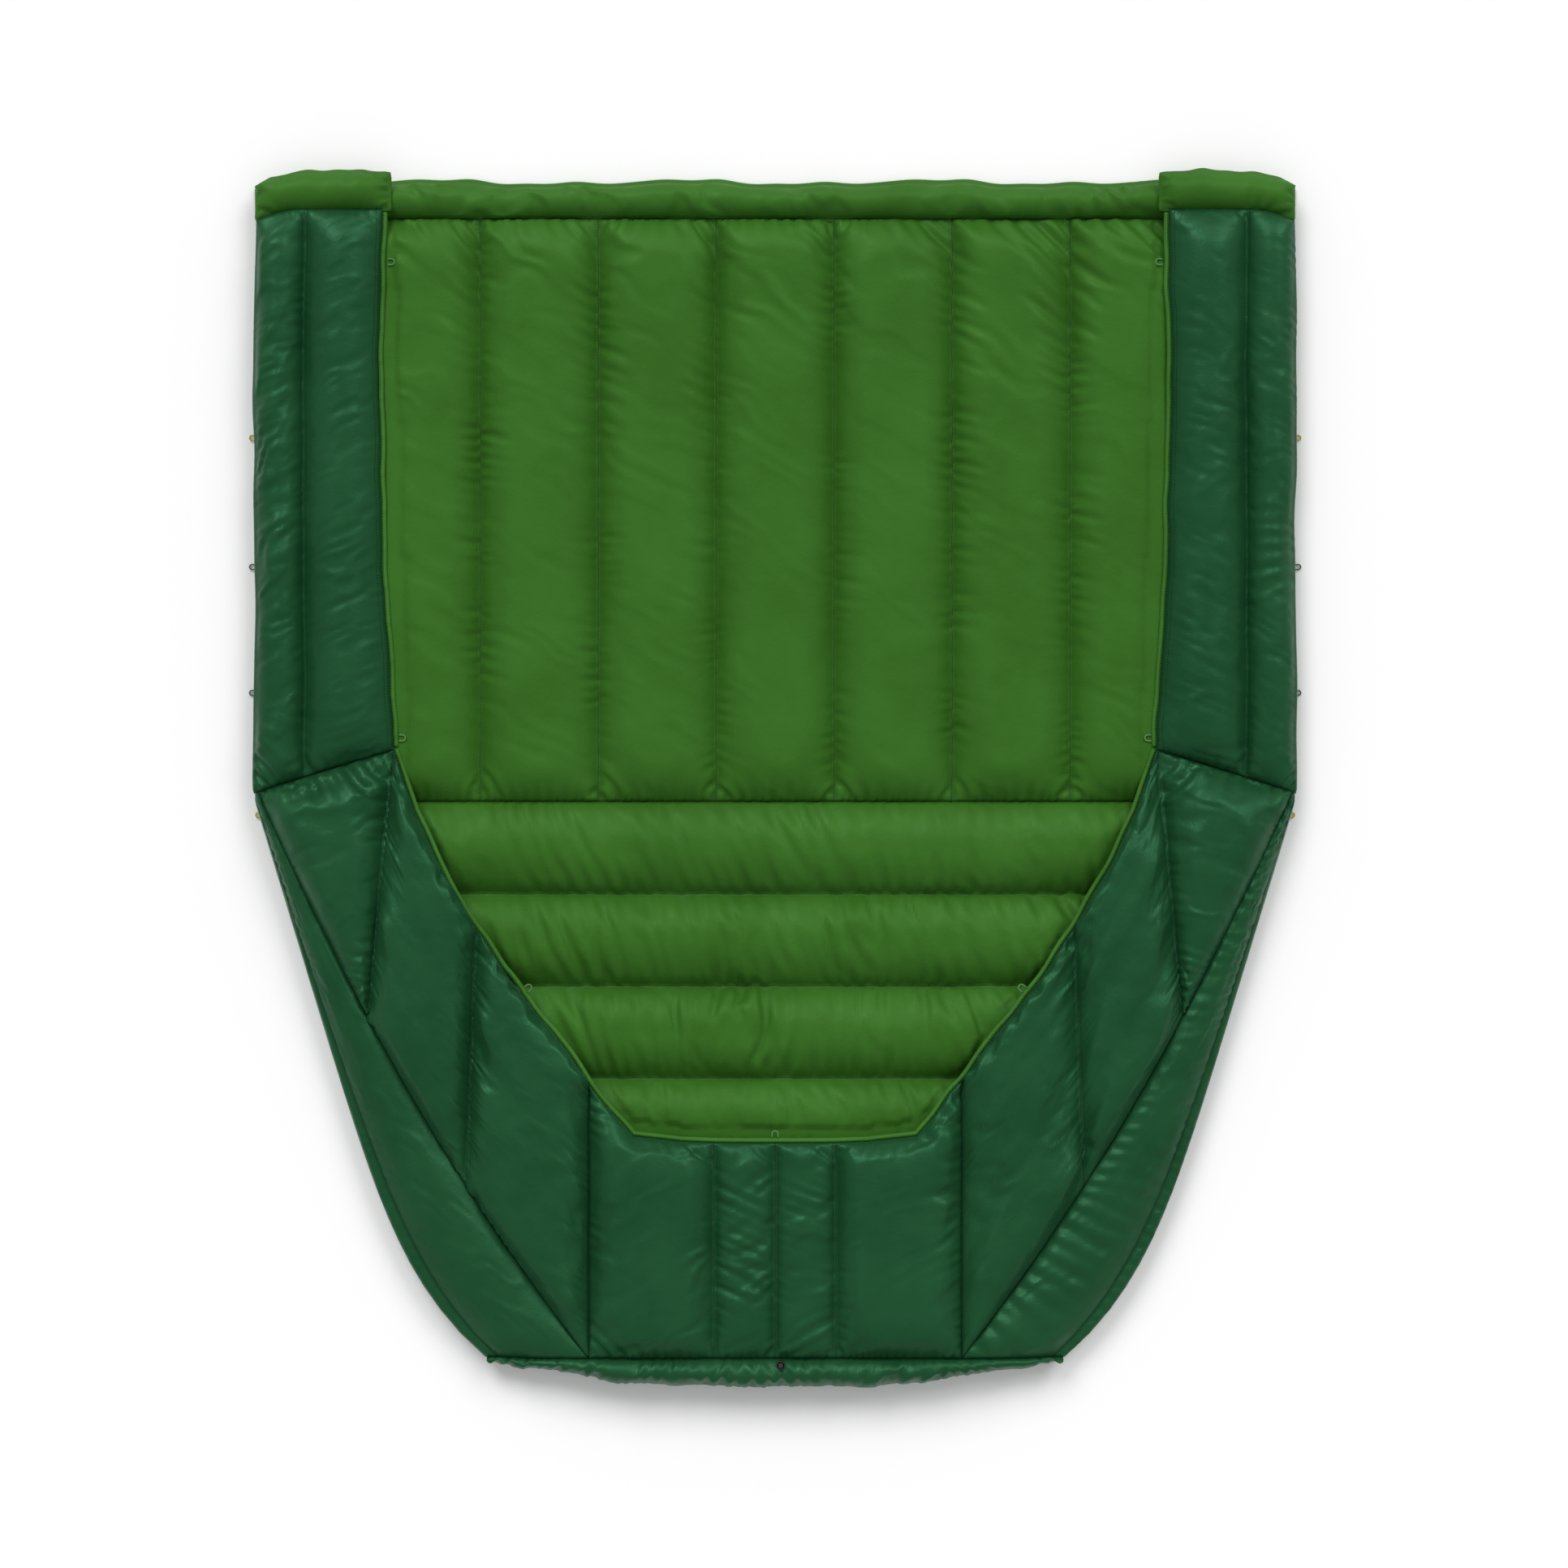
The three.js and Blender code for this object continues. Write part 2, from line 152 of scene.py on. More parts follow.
leg_points = corners_of(*LEGS)
leg_rows = np.unique(np.round(leg_points[:, 1], 4))
leg_half = [leg_points[np.abs(leg_points[:, 1] - y) < 2e-4][:, 0].max() for y in leg_rows]

front_points = corners_of(*["right_" + name for name in FRONT])
mouth_x, mouth_rise = rising_edge(front_points, 0, 1)
corner_x, corner_y = mouth_x[-1], mouth_rise[-1]
slope = np.diff(mouth_rise) / np.diff(mouth_x)
flat_end = int(np.nonzero(slope < 0.3)[0].max())  # the chord after this one cuts the corner of the V
steep = flat_end + 2
turn_x = (mouth_rise[flat_end] - slope[flat_end] * mouth_x[flat_end]
          - mouth_rise[steep] + slope[steep] * mouth_x[steep]) / (slope[steep] - slope[flat_end])
turn_y = mouth_rise[flat_end] + slope[flat_end] * (turn_x - mouth_x[flat_end])
mouth_x = np.insert(mouth_x, steep, turn_x)
mouth_rise = np.insert(mouth_rise, steep, turn_y)
knee_box, thigh_box, hip_box = [box_of("right_front_" + part) for part in ("knee", "thigh", "hip")]
front_seams = [0.0] + [box_of("right_" + name)[1][0] for name in FRONT[:2]]
knee_seam = (thigh_box[0][0], knee_box[1][0])
hip_seam = (hip_box[0][0], thigh_box[1][0])
hip_points = corners_of("right_front_hip")
hip_end = hip_points[np.argmax(hip_points[:, 0])]

gusset_points = corners_of("right_side_gusset")
gusset_y = np.unique(np.round(gusset_points[:, 1], 4))
gusset_half = [gusset_points[np.abs(gusset_points[:, 1] - y) < 2e-4][:, 0].min() for y in gusset_y]
gusset_y = np.append(gusset_y, hip_end[1])
gusset_half = np.append(gusset_half, hip_end[0])

tube_points = corners_of("foot_tube")
tube_points[:, :2] *= -1
tube_x, tube_drop = rising_edge(tube_points[tube_points[:, 0] < 1e-6], 0, 1)

low = {}
for x, y, z in corners_of("right_front_hip", *["right_" + name for name in FRONT]):
    key = (round(x, 4), round(y, 4))
    low[key] = min(low.get(key, 1), z)
base_y, base_z = np.array(sorted((y, z) for (x, y), z in low.items())).T


tab_x = between(*box_of("right_mouth_tab"))[0]


def outline_x(y):
    return np.interp(y, leg_rows, leg_half)


def wander(length_along, size, seed, longest=0.2):
    """A smooth random line: the sum of a few waves, from the longest down."""
    random = np.random.default_rng(seed)
    waves = [size / (n + 1) * np.sin(2 * np.pi * (n + 1) * length_along / longest + random.uniform(0, 6.3))
             for n in range(5)]
    return sum(waves) * 0.7


def mouth_y(x):
    slack = np.clip((np.abs(x) - turn_x) / 0.05, 0, 1) * np.clip((corner_x - np.abs(x)) / 0.05, 0, 1)
    slack = slack * (1 - np.exp(-((np.abs(x) - tab_x) / 0.025) ** 2))
    loose = slack * wander(np.asarray(x, dtype=float), 0.0065, 17, 0.23)
    x = np.abs(x)
    rising = np.interp(x, mouth_x, mouth_rise) + loose
    return np.where(x > corner_x, np.interp(x, [corner_x, hip_end[0]], [corner_y, hip_end[1]]), rising)


def gusset_x(y):
    return np.interp(y, gusset_y, gusset_half)


def gusset_seam_y(x):
    return np.interp(x, gusset_half, gusset_y)


def fold_x(y, side):
    """The fold line at the sides, which isn't quite straight in cloth."""
    return shoulder - 0.005 + np.where(side > 0, wander(y, 0.0022, 11, 0.6), wander(y, 0.0022, 12, 0.6))


def front_base(y):
    return np.interp(y, base_y, base_z)


def flap_edge_x(y):
    return np.interp(y, [corner_y, flap_head_y], [corner_x, flap_head_x])


def foot_edge_y(x):
    return -np.interp(-np.abs(x), tube_x, tube_drop)


print("back seams", np.round(back_seams, 3))
print("leg seams", np.round(leg_seams, 3), "foot seam", round(foot_seam_y, 3))
print("mouth from", round(float(mouth_y(0)), 3), "to", (round(corner_x, 3), round(corner_y, 3)))

# %% [markdown]
# ## How cloth is made to settle
# Down cloth is cut larger than the chamber it covers. Sewn down at its seams and pushed up by the down, the
# spare cloth has to go somewhere: it arches, and it puckers at right angles to the seams. The solver below
# does just that. It moves every point of a grid a little, then pulls each pair of neighbours back to the
# distance they were cut at, and repeats. Pairs two apart are pulled more weakly, and that is the cloth's
# stiffness in bending.

# %% Cloth solver
SEAM_RISE = 0.006  # the frame's own thickness at a seam
DAMPING = 0.9


def neighbour_pairs(rows, cols, bend):
    """Sets of pairs in which no point appears twice, as (first points, second points, stiffness)."""
    def cut(start, stop, step, shift):
        run = np.arange(start, stop - abs(shift) if shift > 0 else stop, step)
        run = run[run + shift >= 0] if shift < 0 else run
        return (slice(run[0], run[-1] + 1, step), slice(run[0] + shift, run[-1] + shift + 1, step))

    wanted = [(0, k, 1, 2, 0, 1, 1.0) for k in (0, 1)] + [(k, 0, 2, 1, 1, 0, 1.0) for k in (0, 1)]
    for k in (0, 1):
        wanted += [(k, 0, 2, 1, 1, 1, 0.6), (k, 1, 2, 1, 1, -1, 0.6)]
    for k in range(4):
        wanted += [(0, k, 1, 4, 0, 2, bend), (k, 0, 4, 1, 2, 0, bend)]
    pairs = []
    for row, col, row_step, col_step, down, across, stiffness in wanted:
        row_a, row_b = cut(row, rows, row_step, down)
        col_a, col_b = cut(col, cols, col_step, across)
        pairs.append(((row_a, col_a), (row_b, col_b), stiffness))
    return pairs


def settle(start, cut, held, push, steps, bend, noise, seed, rise=None, floor=None, ceiling=None):
    """Moves a grid of points from start until its cloth has arched between the held points.

    cut says how much larger than start the cloth is at each point: extra across, extra along, and skew.
    rise is the length along the cloth of each point, where the cloth doesn't start flat."""
    random = np.random.default_rng(seed)
    points = start.copy()
    free = np.where(held, 0.0, 1.0)
    points[..., 2] += free * random.normal(0, noise, free.shape)
    speed = np.zeros_like(points)
    links = []
    for a, b, stiffness in neighbour_pairs(*held.shape, bend):
        total = free[a] + free[b]
        total[total == 0] = 1
        share = [(free[end] / total * stiffness)[..., None] for end in (a, b)]
        pattern, more = start[b] - start[a], (cut[a] + cut[b]) / 2
        across = (1 + more[..., 0]) * pattern[..., 0] + more[..., 2] * pattern[..., 1]
        along = (1 + more[..., 1]) * (pattern[..., 1] if rise is None else rise[b] - rise[a])
        links.append((a, b, np.hypot(across, along), *share))
    for _ in range(steps):
        speed *= DAMPING
        speed[..., 2] += push * free
        moved = points + speed * free[..., None]
        for a, b, length, share_a, share_b in links:
            gap = moved[b] - moved[a]
            now = np.sqrt((gap * gap).sum(-1))
            gap *= ((now - length) / np.maximum(now, 1e-9))[..., None]
            moved[a] += share_a * gap
            moved[b] -= share_b * gap
        if floor is not None:
            moved[..., 2] = np.maximum(moved[..., 2], floor)
        if ceiling is not None:
            moved[..., 2] = np.where(held, moved[..., 2], np.minimum(moved[..., 2], ceiling))
        speed = moved - points
        points = moved
    return points


# %% [markdown]
# ## From a grid to a closed piece
# A layer of the quilt is a top grid and a bottom grid of points with a rounded wall all round, so it's one
# closed body. Each vertex also carries a number named `seam`, 1 on a stitch line and 0 away from it, that
# the fabric's shader uses to paint shade along the seams, the dark of the pinched seam valleys.

# %% Grid tools
def stations(knots, spacing):
    """Values about spacing apart with one on each knot, and the index of each knot."""
    values, at = [knots[0]], [0]
    for a, b in zip(knots, knots[1:]):
        cells = max(2, round(abs(b - a) / spacing))
        values.extend(np.linspace(a, b, cells + 1)[1:])
        at.append(len(values) - 1)
    return np.array(values), at


def crown(count, at, power=1.0):
    """0 on each knot and 1 half way between two."""
    value = np.zeros(count)
    for a, b in zip(at, at[1:]):
        t = (np.arange(a, b + 1) - a) / (b - a)
        value[a:b + 1] = (4 * t * (1 - t)) ** power
    return value


def seam_nearness(x, y, seam_cols, seam_rows, width=0.006):
    far = np.full(x.shape, 1.0)
    for col in seam_cols:
        far = np.minimum(far, np.abs(x - x[:, col:col + 1]))
    for row in seam_rows:
        far = np.minimum(far, np.abs(y - y[row:row + 1]))
    return np.exp(-(far / width) ** 2)


def mesh_object(name, points, faces, face_materials, materials, attributes):
    mesh = bpy.data.meshes.new(name)
    mesh.vertices.add(len(points))
    mesh.vertices.foreach_set("co", np.asarray(points, dtype=np.float32).ravel())
    loops = np.concatenate([f.ravel() for f in faces])
    sizes = np.concatenate([np.full(len(f), f.shape[1]) for f in faces])
    mesh.loops.add(len(loops))
    mesh.loops.foreach_set("vertex_index", loops.astype(np.int32))
    mesh.polygons.add(len(sizes))
    mesh.polygons.foreach_set("loop_start", np.r_[0, np.cumsum(sizes)[:-1]].astype(np.int32))
    mesh.polygons.foreach_set("material_index", np.asarray(face_materials, dtype=np.int32))
    mesh.polygons.foreach_set("use_smooth", np.ones(len(sizes), dtype=bool))
    for key, values in attributes.items():
        kind, field = ("FLOAT", "value") if values.ndim == 1 else ("FLOAT_VECTOR", "vector")
        attribute = mesh.attributes.new(key, kind, "POINT")
        attribute.data.foreach_set(field, values.astype(np.float32).ravel())
    mesh.update(calc_edges=True)
    mesh.validate()
    for material in materials:
        mesh.materials.append(material)
    obj = bpy.data.objects.new(name, mesh)
    bpy.context.scene.collection.objects.link(obj)
    return obj


def grid_object(name, top, bottom, seam, materials, underside=0, wall=0, bulge=0.0, wall_steps=4):
    """A closed piece between two grids. materials[0] is on top; underside and wall index the same list."""
    middle = [n // 2 for n in top.shape[:2]]
    across = top[middle[0], -1] - top[middle[0], 0]
    along = top[-1, middle[1]] - top[0, middle[1]]
    if across[0] * along[1] - across[1] * along[0] < 0:
        top, bottom, seam = top[:, ::-1], bottom[:, ::-1], seam[:, ::-1]
        bulge = bulge[:, ::-1] if isinstance(bulge, np.ndarray) else bulge
    rows, cols = top.shape[:2]
    index = np.arange(rows * cols).reshape(rows, cols)
    quads = np.stack([index[:-1, :-1], index[:-1, 1:], index[1:, 1:], index[1:, :-1]], -1).reshape(-1, 4)
    last_row, last_col = rows - 1, cols - 1
    ring = ([(0, c) for c in range(cols)] + [(r, last_col) for r in range(1, rows)]
            + [(last_row, c) for c in range(cols - 2, -1, -1)] + [(r, 0) for r in range(rows - 2, 0, -1)])
    ring_r, ring_c = np.array(ring).T
    inner_r, inner_c = np.clip(ring_r, 1, rows - 2), np.clip(ring_c, 1, cols - 2)
    outwards = (top[ring_r, ring_c] - top[inner_r, inner_c])[:, :2]
    outwards = outwards / np.maximum(np.linalg.norm(outwards, axis=1, keepdims=True), 1e-9)
    out = bulge[ring_r, ring_c] if isinstance(bulge, np.ndarray) else np.full(len(ring), bulge)
    points = [top.reshape(-1, 3), bottom.reshape(-1, 3)]
    seams = [seam.ravel(), seam.ravel()]
    levels = [index[ring_r, ring_c]]
    count = 2 * rows * cols
    for step in range(1, wall_steps):
        t = step / wall_steps
        level = top[ring_r, ring_c] * (1 - t) + bottom[ring_r, ring_c] * t
        level[:, :2] += outwards * (out * math.sin(math.pi * t))[:, None]
        points.append(level)
        seams.append(seam[ring_r, ring_c] * (1 - math.sin(math.pi * t)))
        levels.append(count + np.arange(len(ring)))
        count += len(ring)
    levels.append(index[ring_r, ring_c] + rows * cols)
    sides = [np.stack([a, b, np.roll(b, -1), np.roll(a, -1)], -1) for a, b in zip(levels, levels[1:])]
    under = quads[:, ::-1] + rows * cols
    faces = [quads, under] + sides
    face_materials = np.concatenate([np.zeros(len(quads)), np.full(len(under), underside),
                                     np.full(sum(len(s) for s in sides), wall)])
    return mesh_object(name, np.concatenate(points), faces, face_materials, materials,
                       {"seam": np.concatenate(seams)})


def patchy(shape, cells, seed, low=0.0, high=1.0):
    """A smooth random field over a grid, made from cells[0] by cells[1] random patches."""
    values = np.random.default_rng(seed).uniform(low, high, (int(cells[0]) + 2, int(cells[1]) + 2))
    for count in shape:
        t = np.linspace(0, len(values) - 1.001, count)
        k = t.astype(int)
        f = ((t - k) ** 2 * (3 - 2 * (t - k)))[:, None]
        values = (values[k] * (1 - f) + values[k + 1] * f).T
    return values


def streaks(x, y, angle, seed, long=0.05, short=0.010):
    """Heights from 0 to 1 of loose creases: narrow ridges that run at angle, each a few centimetres long."""
    random = np.random.default_rng(seed)
    bend = 0.7 * short * patchy(x.shape, (np.ptp(y) / 0.05, np.ptp(x) / 0.05), seed + 1, -1, 1)
    along = (x * math.cos(angle) + y * math.sin(angle)) / long
    across = (-x * math.sin(angle) + y * math.cos(angle) + bend) / short
    table = random.uniform(0, 1, (97, 389))
    i, j = np.floor(along).astype(int), np.floor(across).astype(int)
    f, g = (t * t * (3 - 2 * t) for t in (along - i, across - j))
    value = ((table[i % 97, j % 389] * (1 - f) + table[(i + 1) % 97, j % 389] * f) * (1 - g)
             + (table[i % 97, (j + 1) % 389] * (1 - f) + table[(i + 1) % 97, (j + 1) % 389] * f) * g)
    spread = patchy(x.shape, (np.ptp(y) / 0.07, np.ptp(x) / 0.07), seed + 2, 0.15, 1.0)
    return np.clip(1.6 - 4.2 * np.abs(value - 0.5), 0, 1) ** 1.5 * spread


def padded_layer(x, y, seam_z, seam_cols, seam_rows, loft, seed, arch=(0.05, 0.0), gather=0.15, reach=0.028,
                 more=0.0, skew=0.0, folds=0.0, ceiling=None, steps=150, push=3e-5, bend=0.15, noise=0.0008,
                 jitter=0.0011):
    """The settled top of one quilted layer with its flat grid at x and y.

    arch is the extra cloth across and along that lets the down rise. gather is the extra cloth drawn up on
    each seam, which fades over reach. more is any other extra cloth, and skew is how far the cloth is cut off
    the straight. folds are the heights of loose creases that lie on it. What rises over the top of the
    frame's box is pressed down softly."""
    rows, cols = x.shape
    held = np.zeros(x.shape, dtype=bool)
    held[:, list(seam_cols)] = True
    held[list(seam_rows), :] = True
    high_cols = crown(cols, sorted({0, cols - 1, *seam_cols}))
    high_rows = crown(rows, sorted({0, rows - 1, *seam_rows}), 1.0 if len(seam_rows) > 2 else 0.12)
    if len(seam_cols) <= 2:
        high_cols = high_cols ** 0.12
    high = np.outer(high_rows, high_cols)
    size = np.array([np.ptp(y), np.ptp(x)])
    near_cols = sum(np.exp(-np.abs(x - x[:, c:c + 1]) / reach) for c in seam_cols)
    near_rows = sum(np.exp(-np.abs(y - y[r:r + 1]) / reach) for r in seam_rows)
    uneven = [patchy(x.shape, size / 0.06, seed + n, 0.25, 1.35) ** 2 for n in (1, 2)]
    cut = np.stack([arch[0] + gather * near_rows * uneven[0] + more * uneven[1],
                    arch[1] + gather * near_cols * uneven[1] + more * uneven[0],
                    skew * patchy(x.shape, size / 0.16, seed + 3, -0.4, 1.0)], -1)
    grain = (0.05, 0.013) if len(seam_rows) > 2 else (0.013, 0.05)
    creases = 0.0022 * patchy(x.shape, size / grain, seed + 4, -1, 1) * np.minimum(high * 3, 1)
    start = np.stack([x, y, seam_z + 0.12 * loft * high + creases], -1)
    inner = np.zeros(x.shape)
    inner[:, list(seam_cols)[1:-1]] = 1
    inner[list(seam_rows)[1:-1], :] = 1
    for axis, seed_step, amount in ((2, 5, jitter), (1 if len(seam_rows) > 2 else 0, 6, 0.7 * jitter)):
        start[..., axis] += inner * amount * patchy(x.shape, size / 0.011, seed + seed_step, -1, 1)
    top = settle(start, cut, held, push, steps, bend, noise, seed, ceiling=ceiling)
    top[..., 2] += folds * np.minimum(high * 2.5, 1)
    top[..., 2] -= 0.65 * np.maximum(top[..., 2] - cad_box[1][2], 0)
    return top


# %% [markdown]
# ## Cloth materials
# Both fabrics are thin, calendered nylon: a soft sheen, a fine crinkle all over, and a colour that shifts a
# little from place to place. The crinkle and the weave are bumps on top of the real folds of the mesh.

# %% Materials
def new_material(name):
    material = bpy.data.materials.new(name)
    material.use_nodes = True
    tree = material.node_tree
    return material, tree, tree.nodes["Principled BSDF"]


def add_node(tree, kind, links=None, **values):
    """Adds a node, sets its plain properties and inputs, and links other sockets into it."""
    node = tree.nodes.new(kind)
    for key, value in values.items():
        if hasattr(node, key) and key not in node.inputs:
            setattr(node, key, value)
        else:
            node.inputs[key.replace("_", " ")].default_value = value
    for key, socket in (links or {}).items():
        tree.links.new(socket, node.inputs[key])
    return node


def map_range(tree, socket, low, high, to_low, to_high):
    node = add_node(tree, "ShaderNodeMapRange", {"Value": socket})
    for key, value in zip(("From Min", "From Max", "To Min", "To Max"), (low, high, to_low, to_high)):
        node.inputs[key].default_value = value
    return node.outputs["Result"]


def mix_colour(tree, factor, a, b):
    """A colour between a and b. Each of the three is a socket or a constant."""
    node = add_node(tree, "ShaderNodeMix", data_type="RGBA")
    for socket, value in zip((node.inputs[0], node.inputs[6], node.inputs[7]), (factor, a, b)):
        if isinstance(value, bpy.types.NodeSocket):
            tree.links.new(value, socket)
        elif isinstance(value, tuple):
            socket.default_value = (*value, 1)
        else:
            socket.default_value = value
    return node.outputs[2]


def fabric(name, dark, light, seam_shade_colour, roughness, sheen, specular, crinkle=0.18):
    material, tree, principled = new_material(name)
    place = add_node(tree, "ShaderNodeTexCoord").outputs["Object"]
    patches = add_node(tree, "ShaderNodeTexNoise", {"Vector": place}, Scale=7.0, Detail=3.0).outputs["Fac"]
    mottle = add_node(tree, "ShaderNodeTexNoise", {"Vector": place}, Scale=38.0, Detail=4.0).outputs["Fac"]
    folds = add_node(tree, "ShaderNodeTexNoise", {"Vector": place}, Scale=85.0, Detail=5.0, Distortion=0.9)
    threads = add_node(tree, "ShaderNodeTexNoise", {"Vector": place}, Scale=1400.0, Detail=1.0)
    base = mix_colour(tree, map_range(tree, patches, 0.35, 0.65, 0.0, 1.0), dark, light)
    speckled = mix_colour(tree, map_range(tree, mottle, 0.4, 0.75, 0.0, 0.25), base, light)
    # Painted shade: the seam attribute mixes the colour towards a dark green along every seam, standing in
    # for the shade in the pinched seam valleys.
    seam = add_node(tree, "ShaderNodeAttribute", attribute_name="seam").outputs["Fac"]
    sewn = mix_colour(tree, map_range(tree, seam, 0.3, 1.0, 0.0, 0.5), speckled, seam_shade_colour)
    tree.links.new(sewn, principled.inputs["Base Color"])
    rough = map_range(tree, mottle, 0.3, 0.7, *roughness)
    tree.links.new(rough, principled.inputs["Roughness"])
    crease = add_node(tree, "ShaderNodeBump", {"Height": folds.outputs["Fac"]},
                      Strength=crinkle, Distance=0.003)
    heights = {"Height": threads.outputs["Fac"], "Normal": crease.outputs["Normal"]}
    weave = add_node(tree, "ShaderNodeBump", heights, Strength=0.12, Distance=0.0003)
    tree.links.new(weave.outputs["Normal"], principled.inputs["Normal"])
    principled.inputs["Specular IOR Level"].default_value = specular
    principled.inputs["Specular Tint"].default_value = (*sheen[1], 1)
    principled.inputs["Sheen Weight"].default_value = sheen[0]
    principled.inputs["Sheen Tint"].default_value = (*sheen[1], 1)
    principled.inputs["Sheen Roughness"].default_value = 0.4
    return material


def cord_material(name, dark, light):
    """A braided cord: two sets of strands that cross, in light and dark."""
    material, tree, principled = new_material(name)
    lengthways = add_node(tree, "ShaderNodeAttribute", attribute_name="cord").outputs["Vector"]
    split = add_node(tree, "ShaderNodeSeparateXYZ", {"Vector": lengthways})
    strands = []
    for turn in (1, -1):
        round_part = add_node(tree, "ShaderNodeMath", {0: split.outputs["X"]}, operation="MULTIPLY")
        round_part.inputs[1].default_value = 3.0 * turn
        along_part = add_node(tree, "ShaderNodeMath", {0: split.outputs["Y"], 2: round_part.outputs[0]},
                              operation="MULTIPLY_ADD")
        along_part.inputs[1].default_value = 3600.0
        strand = add_node(tree, "ShaderNodeMath", {0: along_part.outputs[0]}, operation="SINE")
        strands.append(strand.outputs[0])
    woven = add_node(tree, "ShaderNodeMath", {0: strands[0], 1: strands[1]}, operation="MULTIPLY").outputs[0]
    factor = map_range(tree, woven, -1.0, 1.0, 0.0, 1.0)
    tree.links.new(mix_colour(tree, factor, dark, light), principled.inputs["Base Color"])
    bump = add_node(tree, "ShaderNodeBump", {"Height": factor}, Strength=0.6, Distance=0.0002)
    tree.links.new(bump.outputs["Normal"], principled.inputs["Normal"])
    principled.inputs["Roughness"].default_value = 0.7
    return material


def solid_material(name, colour, roughness, metallic=0.0, specular=0.5):
    material, tree, principled = new_material(name)
    place = add_node(tree, "ShaderNodeTexCoord").outputs["Object"]
    grain = add_node(tree, "ShaderNodeTexNoise", {"Vector": place}, Scale=900.0, Detail=3.0).outputs["Fac"]
    tree.links.new(mix_colour(tree, map_range(tree, grain, 0.3, 0.7, 0.0, 1.0), colour,
                              tuple(min(1.0, 1.25 * c) for c in colour)), principled.inputs["Base Color"])
    rough = map_range(tree, grain, 0.3, 0.7, roughness, roughness + 0.15)
    tree.links.new(rough, principled.inputs["Roughness"])
    bump = add_node(tree, "ShaderNodeBump", {"Height": grain}, Strength=0.1, Distance=0.0001)
    tree.links.new(bump.outputs["Normal"], principled.inputs["Normal"])
    principled.inputs["Metallic"].default_value = metallic
    principled.inputs["Specular IOR Level"].default_value = specular
    return material


LINER_SHINE, SHELL_SHINE = (0.5, 1.0, 0.4), (0.3, 1.0, 0.55)
liner = fabric("liner_nylon", dark=(0.0285, 0.110, 0.0100), light=(0.0345, 0.131, 0.0138),
               seam_shade_colour=(0.010, 0.044, 0.005), roughness=(0.42, 0.56),
               sheen=(0.03, LINER_SHINE), specular=0.25)
shell = fabric("shell_nylon", dark=(0.0062, 0.045, 0.0135), light=(0.0095, 0.059, 0.0190),
               seam_shade_colour=(0.003, 0.019, 0.006), roughness=(0.34, 0.48),
               sheen=(0.10, SHELL_SHINE), specular=0.40)
edging = fabric("edge_tape", (0.034, 0.125, 0.016), (0.046, 0.16, 0.025), (0.02, 0.07, 0.01), (0.5, 0.6),
                (0.03, LINER_SHINE), 0.2, crinkle=0.1)
yellow_braid = cord_material("yellow_braid", (0.30, 0.24, 0.01), (0.62, 0.52, 0.04))
green_braid = cord_material("green_braid", (0.03, 0.06, 0.03), (0.10, 0.16, 0.09))
green_tape = cord_material("green_tape", (0.05, 0.16, 0.04), (0.08, 0.24, 0.06))
thread = solid_material("sewing_thread", (0.002, 0.014, 0.004), 0.8, specular=0.05)
lock_plastic = solid_material("lock_plastic", (0.012, 0.012, 0.012), 0.35)
spring_steel = solid_material("spring_steel", (0.55, 0.55, 0.56), 0.25, metallic=1.0)
print("materials", len(bpy.data.materials))

# %% [markdown]
# ## The back layer
# The nine long chambers of the body and the six cross chambers of the legs are two closed pieces, each sewn
# at its seams. Where another layer lies on top, the cloth is kept under it. The underside is shell fabric.
# It rests on the floor and lifts a little at every seam.

# %% Back layer
BACK_SEAM = 0.007  # height of the seams that rest on the floor
BACK_LOFT = 0.027  # how far the down lifts the back and leg layers over their seams
BACK_CEILING = 0.040  # the down never lifts the open chambers above this
COVER = 0.024  # a flap or the front layer also flattens this width beside its own edge
stitch_lines = {"root": [], "left_flap": [], "right_flap": [], "front_left": [], "front_right": []}
UNDER = flap_base - 0.0003  # the back layer stays below this wherever another layer lies on it
CLEAR = 0.0002


def resting(top, seam_z, press=0.22, lift=0.0035):
    """The underside of a layer that rests on the floor: low between the seams, lifted on them."""
    bottom = top.copy()
    bottom[..., 2] = np.clip(lift - press * (top[..., 2] - seam_z), 0.0, lift)
    return bottom


x_values, x_at = stations([-shoulder, *back_seams, shoulder], 0.0050)
y_values, y_at = stations([hip_y, head_seam_y], 0.0046)
x, y = np.meshgrid(x_values, y_values)
covered = (np.abs(x) > flap_edge_x(y) - COVER) | (y < mouth_y(x) + COVER)
outer_chamber = np.clip((np.abs(x) - back_seams[-1]) / (shoulder - back_seams[-1]), 0, 1)
seam_level = BACK_SEAM + (UNDER - BACK_SEAM) * outer_chamber
x = np.sign(x) * (np.abs(x) + outer_chamber * (fold_x(y, np.sign(x)) - shoulder))
near_head = np.exp(-(head_seam_y - y) / 0.16)
creases = streaks(x, y, -0.6, 201, 0.14, 0.026) * (0.0070 * near_head + 0.0016) * ~covered
back_top = padded_layer(x, y, seam_level, x_at, y_at, BACK_LOFT, seed=3, arch=(0.052, 0.004), gather=0.11,
                        reach=0.022, more=0.02 * near_head, skew=0.3 * near_head + 0.06, folds=creases,
                        ceiling=np.where(covered, UNDER, BACK_CEILING))
seam = seam_nearness(x, y, x_at[1:-1], y_at)
at_fold = np.abs(x) > fold_x(y, np.sign(x)) - 1e-6
back = grid_object("back_layer", back_top, resting(back_top, seam_level), seam, [liner, shell], underside=1,
                   wall=1, bulge=0.003 * at_fold)
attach(back, "root")
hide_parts(*BACK)
for col in x_at[1:-1]:
    stitch_lines["root"].append(back_top[:, col])
stitch_lines["root"].append(back_top[0])
print("back layer", len(back.data.polygons), "faces, top at", round(back_top[..., 2].max(), 4))

